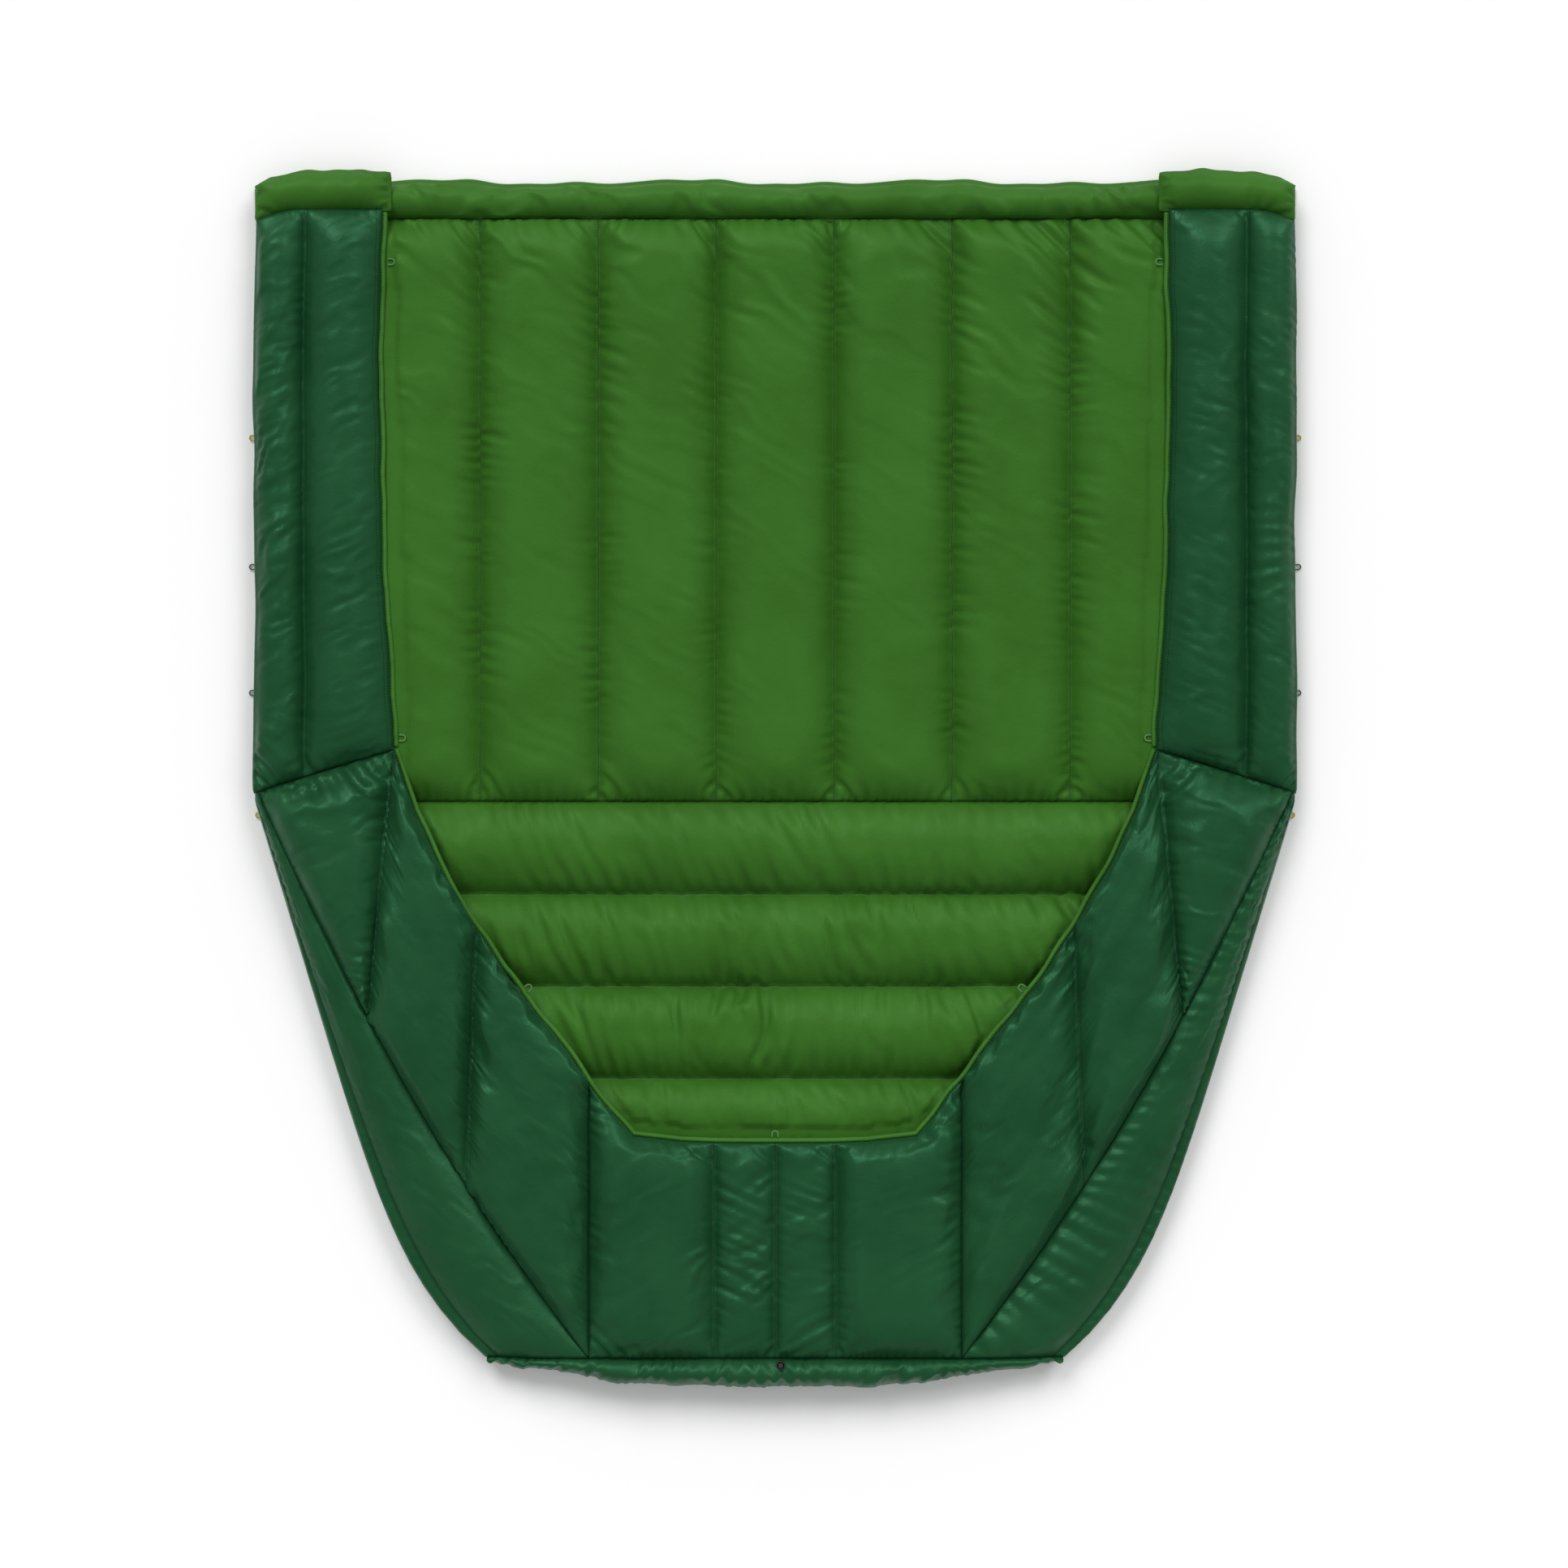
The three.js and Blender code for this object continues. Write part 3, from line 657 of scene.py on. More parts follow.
y_values, y_at = stations([foot_seam_y, *leg_seams[::-1], hip_y - CLEAR], 0.0050)
across, _ = stations([-1.0, 1.0], 0.0075)
half = outline_x(y_values) - 0.006
x, y = across[None, :] * half[:, None], np.repeat(y_values[:, None], len(across), 1)
covered = y < mouth_y(x) + COVER
seam_level = np.full(x.shape, BACK_SEAM)
spare = 0.12 * patchy(x.shape, (7, 16), 19) ** 5
creases = 0.0055 * streaks(x, y, 1.9, 205, 0.10, 0.020) * ~covered
leg_top = padded_layer(x, y, seam_level, (0, len(across) - 1), y_at, BACK_LOFT, seed=15, arch=(0.008, 0.055),
                       gather=0.11, reach=0.035, skew=0.15, more=spare, folds=creases,
                       ceiling=np.where(covered, UNDER, BACK_CEILING))
seam = seam_nearness(x, y, (), y_at)
legs = grid_object("leg_layer", leg_top, resting(leg_top, seam_level), seam, [liner, shell], underside=1,
                   wall=1)
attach(legs, "root")
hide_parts(*LEGS)
for row in y_at[1:-1]:
    stitch_lines["root"].append(leg_top[row])
print("leg layer", len(legs.data.polygons), "faces")

# %% [markdown]
# ## Head draft tube
# The tube along the head edge is gathered: far more cloth is sewn into it than its length, and its free
# edge wanders.

# %% Head draft tube
x_values, _ = stations([draft_lo[0], draft_hi[0]], 0.0042)
t = np.linspace(0, 1, 15)[:, None]
x = np.repeat(x_values[None, :], len(t), 0)
edge = draft_hi[1] - 0.003 + wander(x_values, 0.0045, 7, 0.4)
y = head_seam_y + CLEAR + (edge[None, :] - head_seam_y) * t
level = BACK_SEAM * (1 - t) + 0.012 * t + 0 * x
free_x = np.abs(x) > flap_head_x - 0.015
spots = patchy(x.shape, (1, 26), 8) ** 4
creases = 0.008 * streaks(x, y, -0.9, 209, 0.05, 0.024)
tube_top = padded_layer(x, y, level, (0, len(x_values) - 1), (0, len(t) - 1), 0.026, seed=9,
                        arch=(0.004, 0.22), gather=0.02, more=0.10 * spots, skew=0.3 * spots, folds=creases,
                        ceiling=np.where(free_x, UNDER, 0.045), push=6e-5)
seam = seam_nearness(x, y, (), (0,))
tube = grid_object("head_tube", tube_top, resting(tube_top, level), seam, [liner, shell], underside=1,
                   bulge=0.006)
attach(tube, "root")
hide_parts("head_draft_tube")
stitch_lines["root"].append(tube_top[0])
print("head tube", len(tube.data.polygons), "faces")

# %% [markdown]
# ## Flaps
# Each flap has two long chambers of shell, a gathered head band of liner fabric and an edge tape. The cloth
# is cut on the skew, so its crinkles run at a slant. Its outer edge meets the back layer on the fold line.

# %% Flaps
FLAP_LOFT = 0.022  # how far the down lifts the shell of a flap or of the front layer over its seams
HEAD_SLOPE = 0.020  # the seam at the head end of a flap drops by this much at the fold


def flap_wander(y, side):
    bow = 0.012 * np.sin(math.pi * np.clip((y - corner_y) / (flap_head_y - corner_y), 0, 1))
    return bow + wander(y, 0.0018, 21 + side, 0.35)


for side_name, side in SIDES.items():
    inner, inner_at = stations([0.0, 1.0, 2.0], 1 / 28)
    v = np.linspace(0, 1, 205)[:, None]
    knots = [0.0, 1.0, 2.0]
    foot_x = np.interp(inner, knots, [corner_x, flap_seam_x, shoulder])
    outer_share = np.clip(inner - 1, 0, 1)
    y = mouth_y(foot_x) + CLEAR + (flap_head_y - HEAD_SLOPE * outer_share ** 2 - mouth_y(foot_x)) * v
    edge = flap_edge_x(y) + flap_wander(y, side)
    seam_line = flap_seam_x + 0.3 * wander(y, 0.005, 27 + side, 0.7)
    x = np.where(inner <= 1, edge + (seam_line - edge) * inner,
                 seam_line + (fold_x(y, side) - seam_line) * (inner - 1))
    level = flap_base + SEAM_RISE + 0.004 * np.clip(inner - 1, 0, 1) + 0 * x
    slant = (0.15 + 0.35 * outer_share) * (1.0 if side < 0 else 0.45)
    loose = outer_share if side < 0 else 0.25
    folds = (0.0095 * loose * streaks(side * x, y, 0.95, 221, 0.12, 0.026)
             + 0.0026 * streaks(side * x, y, -side * 0.45, 225 + side, 0.04, 0.013))
    top = padded_layer(side * x, y, level, inner_at, (0, len(v) - 1), FLAP_LOFT, seed=31 + side,
                       arch=(0.045, 0.004), skew=-side * slant, more=0.014, gather=0.07, reach=0.012,
                       folds=folds, push=4e-5, bend=0.12)
    bottom = top.copy()
    bottom[..., 2] = flap_base + 0.0002
    seam = seam_nearness(x, y, inner_at, (0, len(v) - 1))
    flap = grid_object(side_name + "_flap", top, bottom, seam, [shell, liner], underside=1,
                       bulge=0.004 * (inner > 1.99) + 0 * x)
    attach(flap, side_name + "_flap")
    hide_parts(side_name + "_flap_inner_chamber", side_name + "_flap_outer_chamber")
    stitch_lines[side_name + "_flap"] += [top[:, inner_at[1]], top[:, 2], top[-1]]

    x_values, _ = stations([band_lo[0], band_hi[0]], 0.0045)
    v = np.linspace(0, 1, 14)[:, None]
    x = np.repeat(x_values[None, :], len(v), 0)
    far = band_hi[1] - 0.004 + wander(x_values, 0.003, 41 + side)
    near = band_lo[1] - HEAD_SLOPE * np.clip((x_values - flap_seam_x) / (shoulder - flap_seam_x), 0, 1) ** 2
    far = far - 0.018 * np.exp(-(x_values[-1] - x_values) / 0.025)
    y = near[None, :] + (far - near)[None, :] * v
    level = flap_base + SEAM_RISE + 0.004 * v + 0 * x
    spots = patchy(x.shape, (1, 8), 58 + side) ** 4
    top = padded_layer(side * x, y, level, (0, len(x_values) - 1), (0, len(v) - 1), FLAP_LOFT,
                       seed=51 + side, arch=(0.01, 0.16), gather=0.04, more=0.12 * spots,
                       skew=0.2 * spots, push=6e-5)
    bottom = top.copy()
    bottom[..., 2] = flap_base + 0.0002
    seam = seam_nearness(x, y, (), (0,))
    band = grid_object(side_name + "_head_band", top, bottom, seam, [liner], bulge=0.005)
    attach(band, side_name + "_flap")
    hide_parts(side_name + "_flap_head_band")
    print(side_name, "flap", len(flap.data.polygons), "faces")

# %% [markdown]
# ## Front layer and side gussets
# The front layer rises from the hips over the room for the feet. Its middle stays with the legs. Its two
# sides are sewn to the flaps. Beside it, a gusset runs down to the
# floor at each side.

# %% Front layer
MOUTH_PUFF = 0.008  # the layer is this much thicker than a seam where it folds over at the mouth


def bend_with_flap(obj):
    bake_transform(obj)


def hollow(top, base):
    """The inside of a front layer: liner cloth that lies flat just above the layer's base."""
    bottom = top.copy()
    bottom[..., 2] = base + 0.0002
    return bottom


knots = [-front_seams[2], -front_seams[1], 0.0, front_seams[1], front_seams[2]]
x_values, x_at = stations(knots, 0.0048)
v = np.linspace(0, 1, 95)[:, None]
x = np.repeat(x_values[None, :], len(v), 0)
y = foot_seam_y + (mouth_y(x_values)[None, :] - foot_seam_y) * v
base = front_base(y)
level = base + SEAM_RISE + MOUTH_PUFF * np.exp((y - y[-1:]) / 0.012)
creases = 0.0050 * streaks(x, y, 0.5, 231, 0.08, 0.020)
top = padded_layer(x, y, level, x_at, (0, len(v) - 1), FLAP_LOFT, seed=61, arch=(0.035, 0.004), gather=0.10,
                   reach=0.018, skew=0.2, more=0.012, bend=0.12, folds=creases)
seam = seam_nearness(x, y, x_at, (0,))
middle = grid_object("front_middle", top, hollow(top, base), seam, [shell, liner], underside=1)
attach(middle, "root")
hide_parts(*[side_name + "_" + name for side_name in SIDES for name in FRONT[:2]])
for col in x_at:
    stitch_lines["root"].append(top[:, col])
print("front middle", len(middle.data.polygons), "faces")

for side_name, side in SIDES.items():
    knots = [0.0, 1.0, 2.0, 3.0]
    u, u_at = stations(knots, 1 / 34)
    v = np.linspace(0, 1, 120)[:, None]
    mouth_knots = [front_seams[2], knee_seam[0], hip_seam[0]]
    lower_knots = [front_seams[2], knee_seam[1], hip_seam[1]]
    top_x, low_x = np.interp(u, knots[:3], mouth_knots), np.interp(u, knots[:3], lower_knots)
    x = top_x + (low_x - top_x) * v
    y = mouth_y(top_x) + (gusset_seam_y(low_x) - mouth_y(top_x)) * v
    hip_part = u > 2
    out = np.clip(u - 2, 0, 1)
    inner_x = hip_seam[0] + (hip_seam[1] - hip_seam[0]) * v
    inner_y = corner_y + (gusset_seam_y(hip_seam[1]) - corner_y) * v
    outer_y = hip_end[1] + (gusset_seam_y(hip_seam[1]) - hip_end[1]) * v
    outer_x = gusset_x(outer_y)
    x = np.where(hip_part, inner_x + (outer_x - inner_x) * out, x)
    y = np.where(hip_part, inner_y + (outer_y - inner_y) * out, y)
    base = front_base(y)
    crumple = 0.22 * np.exp(-(y[:1] - y) / 0.08) * patchy(x.shape, (3, 14), 75 + side) ** 2
    level = base + SEAM_RISE + MOUTH_PUFF * np.exp((y - y[:1]) / 0.012) * (u <= 2)
    near_mouth = np.exp(-(y[:1] - y) / 0.07)
    folds = (0.0110 * near_mouth * streaks(side * x, y, -side * 0.35, 235 + side, 0.08, 0.024)
             + 0.0060 * streaks(side * x, y, -side * 0.2, 241 + side, 0.09, 0.024))
    top = padded_layer(side * x, y, level, u_at, (0, len(v) - 1), FLAP_LOFT, seed=71 + side,
                       arch=(0.04, 0.004), gather=0.10, reach=0.018, skew=-side * 0.25, more=0.012 + crumple,
                       folds=folds, bend=0.1)
    seam = seam_nearness(x, y, u_at, (0, len(v) - 1))
    front = grid_object("front_" + side_name, top, hollow(top, base), seam, [shell, liner], underside=1)
    bend_with_flap(front)
    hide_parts(*[side_name + "_front_" + part for part in ("knee", "thigh", "hip")])
    stitch_lines["front_" + side_name] += [top[:, u_at[1]], top[:, u_at[2]], top[-1], top[0]]

    v_values = np.linspace(0, 1, 200)[:, None]
    y_line = hip_end[1] + (foot_seam_y - hip_end[1]) * v_values
    u = np.linspace(0, 1, 40)
    inner_x, outer_x = gusset_x(y_line) + CLEAR, outline_x(y_line) + 0.001
    x = inner_x + (outer_x - inner_x) * u
    y = y_line + 0 * x
    inner_z = front_base(y_line) + SEAM_RISE
    level = inner_z + (flap_base + 0.004 - inner_z) * u ** 2
    hem = int(np.argmin(np.abs(u - 0.86)))
    creases = 0.0025 * streaks(side * x, y, side * 0.5, 251 + side, 0.08, 0.02)
    top = padded_layer(side * x, y, level, (0, hem, len(u) - 1), (0, len(v_values) - 1), 0.008,
                       seed=81 + side, arch=(0.015, 0.0), gather=0.025, skew=0.1, push=1.5e-5, bend=0.25,
                       jitter=0.0004, folds=creases)
    bottom = top.copy()
    bottom[..., 2] = flap_base + 0.0001
    bottom[:, -1, 2] = 0.0005
    bottom[:, -1, 0] += side * 0.001
    seam = seam_nearness(x, y, (0, hem), ())
    gusset = grid_object(side_name + "_gusset", top, bottom, seam, [shell], bulge=0.003 * (u > 0.99) + 0 * x)
    bend_with_flap(gusset)
    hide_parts(side_name + "_side_gusset")
    stitch_lines["front_" + side_name] += [top[:, 0], top[:, hem]]
    print(side_name, "front", len(front.data.polygons), "faces, gusset", len(gusset.data.polygons))

# %% [markdown]
# ## Foot tube
# A drawcord gathers the tube across the foot, so its cloth stands in tight ruffles.

# %% Foot tube
x_values, _ = stations([tube_lo[0], tube_hi[0]], 0.0036)
v = np.linspace(0, 1, 22)[:, None]
end_fall = 1 - 0.35 * np.abs(x_values / tube_hi[0]) ** 4
edge = np.convolve(np.pad(foot_edge_y(x_values), 14, mode="edge"), np.ones(29) / 29, "valid")
edge += wander(x_values, 0.003, 91, 0.4) - 0.003
profile_v = [0, 0.2, 0.4, 0.6, 0.7, 1]
profile_y, profile_z = [0, 0.50, 0.86, 1.0, 0.88, 0.50], [0.061, 0.069, 0.065, 0.052, 0.038, 0.001]
y = foot_seam_y - CLEAR + (edge - foot_seam_y) * np.interp(v[:, 0], profile_v, profile_y)[:, None]
arch = np.interp(v[:, 0], profile_v, profile_z)[:, None]
level = arch * end_fall
x = np.repeat(x_values[None, :], len(v), 0)
start = np.stack([x, y, level], -1)
over = np.cumsum(np.vstack([0 * x[:1], np.hypot(np.diff(y, axis=0), np.diff(level, axis=0))]), axis=0)
cut = np.stack([0.11 * patchy(x.shape, (1, 20), 94, 0.2, 1.2) ** 2,
                0.03 + 0 * x,
                0.1 * patchy(x.shape, (1, 14), 95, -1, 1)], -1)
held = np.zeros(x.shape, dtype=bool)
held[[0, -1]] = True
held[v[:, 0] > 0.62] = True
held[:, [0, -1]] = True
top = settle(start, cut, held, 4e-5, 150, 0.25, 0.001, 93, rise=over, floor=0.001)
free = np.clip((0.7 - v) / 0.1, 0, 1) * np.clip(v / 0.1, 0, 1)
ruffle = streaks(x, y, 1.15, 97, 0.045, 0.017) * free
top[..., 2] += 0.006 * ruffle
top[..., 1] -= 0.003 * ruffle * np.clip(v / 0.5, 0, 1)
bottom = top.copy()
bottom[..., 1] = foot_seam_y - CLEAR + (y[-1] - foot_seam_y) * v
bottom[..., 2] = 0.0004
seam = seam_nearness(x, y, (), (0,))
foot_tube = grid_object("foot_tube_cloth", top, bottom, seam, [shell], wall_steps=2)
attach(foot_tube, "root")
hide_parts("foot_tube")
stitch_lines["root"].append(top[0])
print("foot tube", len(foot_tube.data.polygons), "faces")

# %% [markdown]
# ## Edge tapes
# A folded tape finishes the inner edge of each flap and the edge of the mouth. It's a narrow strip with a
# round back that wanders a little, since the gathered cloth pulls on it.

# %% Edge tapes
TAPE_WIDTH = binding_hi[0] - binding_lo[0] - (flap_edge_x(binding_hi[1]) - flap_edge_x(binding_lo[1]))
TAPE_HEIGHT = binding_hi[2] - binding_lo[2]


def tape(name, path, side_normal, seed):
    """A strip along path, on the side that side_normal points to."""
    share = np.linspace(0, 1, 7)
    length = np.r_[0, np.cumsum(np.linalg.norm(np.diff(path[:, :2], axis=0), axis=1))]
    lift = 0.0008 * wander(length, 1.0, seed, 0.06)
    top = path[:, None, :] + share[None, :, None] * TAPE_WIDTH * np.c_[side_normal, 0 * length][:, None, :]
    bottom = top.copy()
    round_back = 0.35 + 0.65 * np.sqrt(4 * share * (1 - share))
    top[..., 2] += TAPE_HEIGHT * round_back + np.maximum(lift, 0)[:, None]
    bottom[..., 2] += 0.0002
    return top, grid_object(name, top, bottom, np.zeros(top.shape[:2]), [edging], bulge=0.0006, wall_steps=2)


for side_name, side in SIDES.items():
    y = np.linspace(binding_lo[1], binding_hi[1], 260)
    x = side * (flap_edge_x(y) + flap_wander(y, side) - CLEAR)
    path = np.stack([x, y, np.full(len(y), flap_base)], -1)
    top, strip = tape(side_name + "_flap_tape", path, np.tile([-side, 0.0], (len(y), 1)), 101 + side)
    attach(strip, side_name + "_flap")
    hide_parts(side_name + "_flap_binding")
    stitch_lines[side_name + "_flap"].append(top[:, 2])


def mouth_path(x):
    y = mouth_y(x)
    path = np.stack([x, y, front_base(y)], -1)
    along = np.gradient(path[:, :2], axis=0)
    along /= np.linalg.norm(along, axis=1, keepdims=True)
    normal = np.stack([-along[:, 1], along[:, 0]], -1)
    path[:, :2] += normal * CLEAR
    return path, normal


stretches = [np.linspace(a, b, 60)[:-1] for a, b in zip(mouth_x, mouth_x[1:]) if b - a > 0.001]
dense = np.concatenate(stretches + [[corner_x]])
dense = np.concatenate([-dense[:0:-1], dense])
path, normal = mouth_path(dense)
keep = np.r_[True, np.linalg.norm(np.diff(path[:, :2], axis=0), axis=1) > 0.0004]
dense, path, normal = dense[keep], path[keep], normal[keep]
for name, mask, side_name in (("left", dense <= -front_seams[2] + 1e-3, "left"),
                              ("middle", np.abs(dense) <= front_seams[2] + 1e-3, None),
                              ("right", dense >= front_seams[2] - 1e-3, "right")):
    top, strip = tape("mouth_tape_" + name, path[mask], normal[mask], 111)
    if side_name:
        bend_with_flap(strip)
        stitch_lines["front_" + side_name].append(top[:, 2])
    else:
        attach(strip, "root")
        stitch_lines["root"].append(top[:, 2])
    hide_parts("mouth_binding")
print("edge tapes done, tape", round(TAPE_WIDTH * 1000, 1), "mm wide")

# %% [markdown]
# ## Loops and tabs
# The pad loops of cord and the tape tabs are swept tubes. Their bend lies where the frame's loops lie, with
# the ends at the cloth. The vector attribute `cord` holds the angle round the cord and the distance along
# it for the braid.

# %% Loops
def swept(name, path, radius, material, ring=14):
    """A tube round a level or gently rising path, closed by a flat cap at each end."""
    along = np.gradient(path, axis=0)
    along /= np.linalg.norm(along, axis=1, keepdims=True)
    sideways = np.stack([-along[:, 1], along[:, 0], 0 * along[:, 0]], -1)
    angle = np.linspace(0, 2 * np.pi, ring, endpoint=False)
    cosine, sine = np.cos(angle)[None, :, None], np.sin(angle)[None, :, None]
    offset = sideways[:, None] * cosine + np.array([0, 0, 1.0]) * sine
    points = (path[:, None] + radius * offset).reshape(-1, 3)
    index = np.arange(len(points)).reshape(len(path), ring)
    a, b = index[:-1], index[1:]
    quads = np.stack([a, b, np.roll(b, -1, 1), np.roll(a, -1, 1)], -1).reshape(-1, 4)
    caps = [index[0][None, :], index[-1][::-1][None, :]]
    length = np.r_[0, np.cumsum(np.linalg.norm(np.diff(path, axis=0), axis=1))]
    cord = np.stack([np.tile(angle, len(path)), np.repeat(length, ring), np.zeros(len(points))], -1)
    faces = [quads[:, ::-1]] + [cap[:, ::-1] for cap in caps]
    return mesh_object(name, points, faces, np.zeros(len(quads) + 2), [material], {"cord": cord})


def loop_path(reach, half, steps=16):
    """A flat U: out along one leg, round the bend and back along the other."""
    leg = reach - half
    angle = np.linspace(-np.pi / 2, np.pi / 2, steps)
    bend = np.stack([leg + half * np.cos(angle), half * np.sin(angle)], -1)
    return np.concatenate([[[0, -half]], [[leg / 2, -half]], bend, [[leg / 2, half]], [[0, half]]])


def place_loop(node, material, body, radius, angle=0.0):
    lo, hi = box_of(node)
    centre, size = (lo + hi) / 2, hi - lo
    direction = np.array([math.cos(angle), math.sin(angle)])
    sideways = np.array([-direction[1], direction[0]])
    points = corners_of(node)[:, :2]
    ahead, beside = points @ direction, points @ sideways
    reach = (ahead.max() - ahead.min()) - radius
    half = (beside.max() - beside.min()) / 2 - radius
    root = direction * ahead.min() + sideways * between(beside.max(), beside.min())
    flat = loop_path(reach, half)
    path = np.c_[root + flat[:, :1] * direction + flat[:, 1:] * sideways, np.full(len(flat), centre[2])]
    loop = swept(node + "_cord", path, radius, material)
    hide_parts(node)
    if body in SIDES:
        bend_with_flap(loop)
    else:
        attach(loop, body)


for side_name, side in SIDES.items():
    facing = 0.0 if side > 0 else math.pi
    for n in range(1, 5):
        end_loop = n in (1, 4)
        node = "%s_side_loop_%d" % (side_name, n)
        thick = (box_of(node)[1][2] - box_of(node)[0][2]) / 2
        braid, slot = (yellow_braid, "yellow_cord") if end_loop else (green_braid, "green_cord")
        place_loop(node, braid, "root", thick, facing)
    for n in (1, 2):
        node = "%s_flap_tab_%d" % (side_name, n)
        thick = (box_of(node)[1][2] - box_of(node)[0][2]) / 2
        place_loop(node, green_tape, side_name + "_flap", thick, math.pi - facing)
    node = side_name + "_mouth_tab"
    thick = (box_of(node)[1][2] - box_of(node)[0][2]) / 2
    place = abs(between(box_of(node)[0][0], box_of(node)[1][0]))
    slope = math.atan2(float(mouth_y(place + 0.011) - mouth_y(place + 0.009)), 0.002)
    place_loop(node, green_tape, side_name, thick, math.pi / 2 + side * slope)
thick = (box_of("mouth_bottom_tab")[1][2] - box_of("mouth_bottom_tab")[0][2]) / 2
place_loop("mouth_bottom_tab", green_tape, "root", thick, math.pi / 2)

# %% [markdown]
# ## Cord lock
# The lock's sleeve and button are turned shapes with rounded edges. The spring between them stands on the
# sleeve's floor and rises to the button.

# %% Cord lock
def turned(name, outline, centre, material, ring=48):
    """A closed shape turned about the upright axis through centre. The outline starts and ends on it."""
    outline = np.array(outline)
    angle = np.linspace(0, 2 * np.pi, ring, endpoint=False)
    rings = [np.stack([r * np.cos(angle), r * np.sin(angle), np.full(ring, z)], -1) for r, z in outline[1:-1]]
    points = np.concatenate([[[0, 0, outline[0][1]]], *rings, [[0, 0, outline[-1][1]]]]) + np.array(centre)
    index = 1 + np.arange(len(rings) * ring).reshape(len(rings), ring)
    a, b = index[:-1], index[1:]
    quads = np.stack([a, np.roll(a, -1, 1), np.roll(b, -1, 1), b], -1).reshape(-1, 4)
    first, last = index[0], index[-1]
    fans = [np.stack([np.zeros(ring, int), np.roll(first, -1), first], -1),
            np.stack([np.full(ring, len(points) - 1), last, np.roll(last, -1)], -1)]
    return mesh_object(name, points, [quads] + fans, np.zeros(len(quads) + 2 * ring), [material], {})


def rounded(corner, radius, before, after, steps=4):
    """Points of a quarter round at an outline's corner."""
    corner, before, after = map(np.array, (corner, before, after))
    start = corner + radius * (before - corner) / np.linalg.norm(before - corner)
    end = corner + radius * (after - corner) / np.linalg.norm(after - corner)
    centre = start + end - corner
    return [tuple(centre + (start - centre) * math.cos(t) + (end - centre) * math.sin(t))
            for t in np.linspace(0, math.pi / 2, steps)]


def soft_outline(corners, radius):
    points = [corners[0]]
    for before, corner, after in zip(corners, corners[1:], corners[2:]):
        points += rounded(corner, radius, before, after)
    return points + [corners[-1]]


SPRING_WIRE, SPRING_TURNS = 0.0004, 3
sleeve_lo, sleeve_hi = box_of("cord_lock_sleeve")
button_lo, button_hi = box_of("cord_lock_button")
lock_x, lock_y = (sleeve_lo + sleeve_hi)[:2] / 2
outer = (sleeve_hi - sleeve_lo)[0] / 2
height = sleeve_hi[2] - sleeve_lo[2]
plunger = (button_hi - button_lo)[0] / 2
bore, floor_z = 0.0054, 0.002
sleeve_outline = [(0, 0), (outer, 0), (outer, height), (bore, height), (bore, floor_z), (0, floor_z)]
sleeve = turned("lock_sleeve", soft_outline(sleeve_outline, 0.0007), (lock_x, lock_y, sleeve_lo[2]),
                lock_plastic)
button_height = button_hi[2] - button_lo[2]
button_outline = [(0, 0), (plunger, 0), (plunger, button_height), (0, button_height)]
button = turned("lock_button", soft_outline(button_outline, 0.0009), (lock_x, lock_y, button_lo[2]),
                lock_plastic)
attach(sleeve, "root")
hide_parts("cord_lock_sleeve")
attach(button, "cord_lock_button")
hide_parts("cord_lock_button")
spring_lo, spring_hi = box_of("cord_lock_spring")
coil = (spring_hi - spring_lo)[0] / 2 - SPRING_WIRE
turn = np.linspace(0, 2 * np.pi * SPRING_TURNS, 26 * SPRING_TURNS)
low, high = spring_lo[2] + SPRING_WIRE, spring_hi[2] - SPRING_WIRE
rise = low + (high - low) * turn / turn[-1]
helix = np.stack([lock_x + coil * np.cos(turn), lock_y + coil * np.sin(turn), rise], -1)
spring = swept("lock_spring", helix, SPRING_WIRE, spring_steel, ring=10)
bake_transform(spring)
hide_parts("cord_lock_spring")
print("lock at", round(lock_x, 4), round(lock_y, 4))

# %% [markdown]
# ## Stitches
# Stitches repeat along every seam, so Geometry Nodes places them: it turns each seam line into a curve,
# puts a point on it every few millimetres and sets a small thread there, turned along the seam. The result
# is made a plain mesh.

# %% Stitches
STITCH_SPACING, STITCH_LENGTH, THREAD_RADIUS = 0.0046, 0.0032, 0.00035


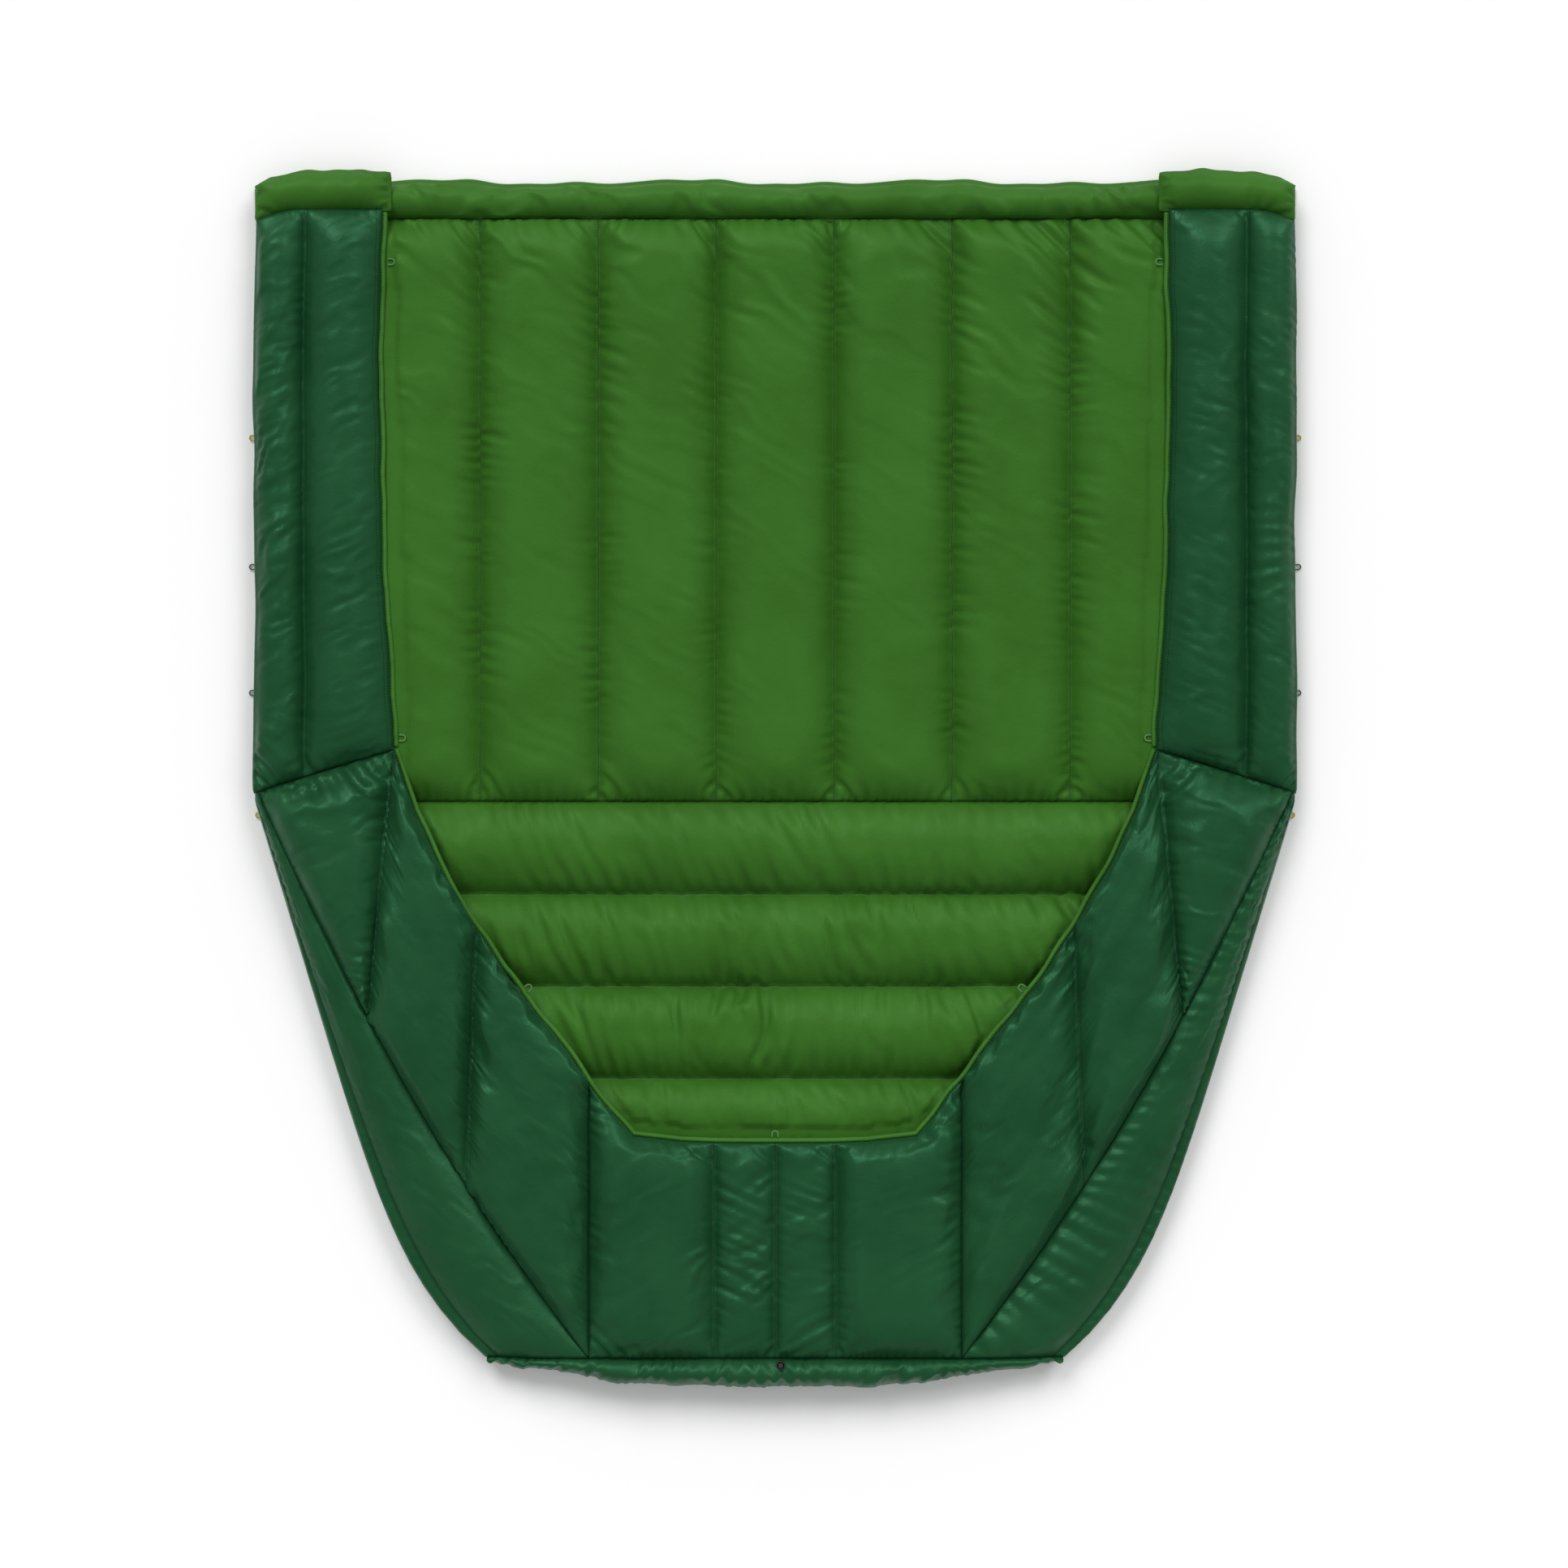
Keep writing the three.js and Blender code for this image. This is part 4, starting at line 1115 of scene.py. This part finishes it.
def stitch_tree():
    tree = bpy.data.node_groups.new("stitches", "GeometryNodeTree")
    for label, kind, way in (("Lines", "NodeSocketGeometry", "INPUT"),
                             ("Spacing", "NodeSocketFloat", "INPUT"),
                             ("Thread", "NodeSocketVector", "INPUT"),
                             ("Material", "NodeSocketMaterial", "INPUT"),
                             ("Stitches", "NodeSocketGeometry", "OUTPUT")):
        tree.interface.new_socket(label, in_out=way, socket_type=kind)
    group_in, group_out = tree.nodes.new("NodeGroupInput"), tree.nodes.new("NodeGroupOutput")
    curve = add_node(tree, "GeometryNodeMeshToCurve", {"Mesh": group_in.outputs["Lines"]})
    spaced = {"Curve": curve.outputs[0], "Length": group_in.outputs["Spacing"]}
    even = add_node(tree, "GeometryNodeResampleCurve", spaced,
                    mode="LENGTH")
    tangent = add_node(tree, "GeometryNodeInputTangent")
    turn = add_node(tree, "FunctionNodeAlignRotationToVector", {"Vector": tangent.outputs[0]}, axis="X")
    lump = add_node(tree, "GeometryNodeMeshUVSphere", Segments=6, Rings=4, Radius=1.0)
    sized = {"Geometry": lump.outputs["Mesh"], "Scale": group_in.outputs["Thread"]}
    one = add_node(tree, "GeometryNodeTransform", sized)
    uneven = add_node(tree, "FunctionNodeRandomValue", data_type="FLOAT")
    uneven.inputs[2].default_value, uneven.inputs[3].default_value = 0.85, 1.1
    uneven.inputs["Seed"].default_value = 5
    placed = add_node(tree, "GeometryNodeInstanceOnPoints",
                      {"Points": even.outputs[0], "Instance": one.outputs[0], "Rotation": turn.outputs[0],
                       "Scale": uneven.outputs[1]})
    real = add_node(tree, "GeometryNodeRealizeInstances", {"Geometry": placed.outputs[0]})
    painted = add_node(tree, "GeometryNodeSetMaterial", {"Geometry": real.outputs[0],
                                                         "Material": group_in.outputs["Material"]})
    tree.links.new(painted.outputs[0], group_out.inputs["Stitches"])
    return tree


stitching = stitch_tree()
sockets = {item.name: item.identifier for item in stitching.interface.items_tree if item.in_out == "INPUT"}


def lines_mesh(name, lines):
    points = np.concatenate(lines)
    edges, first = [], 0
    for line in lines:
        edges += [(first + n, first + n + 1) for n in range(len(line) - 1)]
        first += len(line)
    mesh = bpy.data.meshes.new(name)
    mesh.from_pydata(points.tolist(), edges, [])
    return mesh


def sewn(name, lines):
    """A plain mesh of stitches along the lines, which lie on the cloth."""
    lines = [line + np.array([0, 0, THREAD_RADIUS * 0.8]) for line in lines]
    source = bpy.data.objects.new(name, lines_mesh(name, lines))
    bpy.context.scene.collection.objects.link(source)
    modifier = source.modifiers.new("stitches", "NODES")
    modifier.node_group = stitching
    modifier[sockets["Spacing"]] = STITCH_SPACING
    modifier[sockets["Thread"]] = (STITCH_LENGTH / 2, THREAD_RADIUS, THREAD_RADIUS)
    modifier[sockets["Material"]] = thread
    source.update_tag()
    depsgraph = bpy.context.evaluated_depsgraph_get()
    plain = bpy.data.meshes.new_from_object(source.evaluated_get(depsgraph))
    source.modifiers.clear()
    source.data = plain
    plain.name = name
    return source


for key, lines in stitch_lines.items():
    stitches = sewn("stitches_" + key, lines)
    if key.startswith("front_"):
        bend_with_flap(stitches)
    else:
        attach(stitches, key)
    print(stitches.name, len(stitches.data.polygons), "faces")

# %% [markdown]
# ## Floor and light
# A pale floor, an even white sky for the soft shadow all round, and one broad, distant light beyond the
# head that rakes across the quilt and lets every fold show.

# %% Floor and light
floor_mesh = bpy.data.meshes.new("floor")
reach = 6.0
corners = [(-reach, -reach, 0), (reach, -reach, 0), (reach, reach, 0), (-reach, reach, 0)]
floor_mesh.from_pydata(corners, [], [(0, 1, 2, 3)])
floor = bpy.data.objects.new("floor", floor_mesh)
bpy.context.scene.collection.objects.link(floor)
floor_material, _, floor_shader = new_material("floor_paper")
floor_shader.inputs["Base Color"].default_value = (0.94, 0.94, 0.94, 1)
floor_shader.inputs["Roughness"].default_value = 0.9
floor_shader.inputs["Specular IOR Level"].default_value = 0.0
floor_mesh.materials.append(floor_material)

world = bpy.data.worlds.new("studio")
world.use_nodes = True
bpy.context.scene.world = world
world.node_tree.nodes["Background"].inputs["Color"].default_value = (1, 1, 1, 1)
world.node_tree.nodes["Background"].inputs["Strength"].default_value = 0.56




def broad_light(name, direction, strength):
    """A distant light, soft as a wide window, that shines from direction towards the quilt."""
    data = bpy.data.lights.new(name, "SUN")
    data.energy, data.angle = strength, math.radians(30)
    obj = bpy.data.objects.new(name, data)
    bpy.context.scene.collection.objects.link(obj)
    obj.location = direction
    obj.rotation_euler = obj.location.to_track_quat("Z", "Y").to_euler()


broad_light("key", (-1.5, 3.0, 3.1), 1.42)
broad_light("second", (2.2, 2.6, 3.1), 0.98)
print("lights ready")
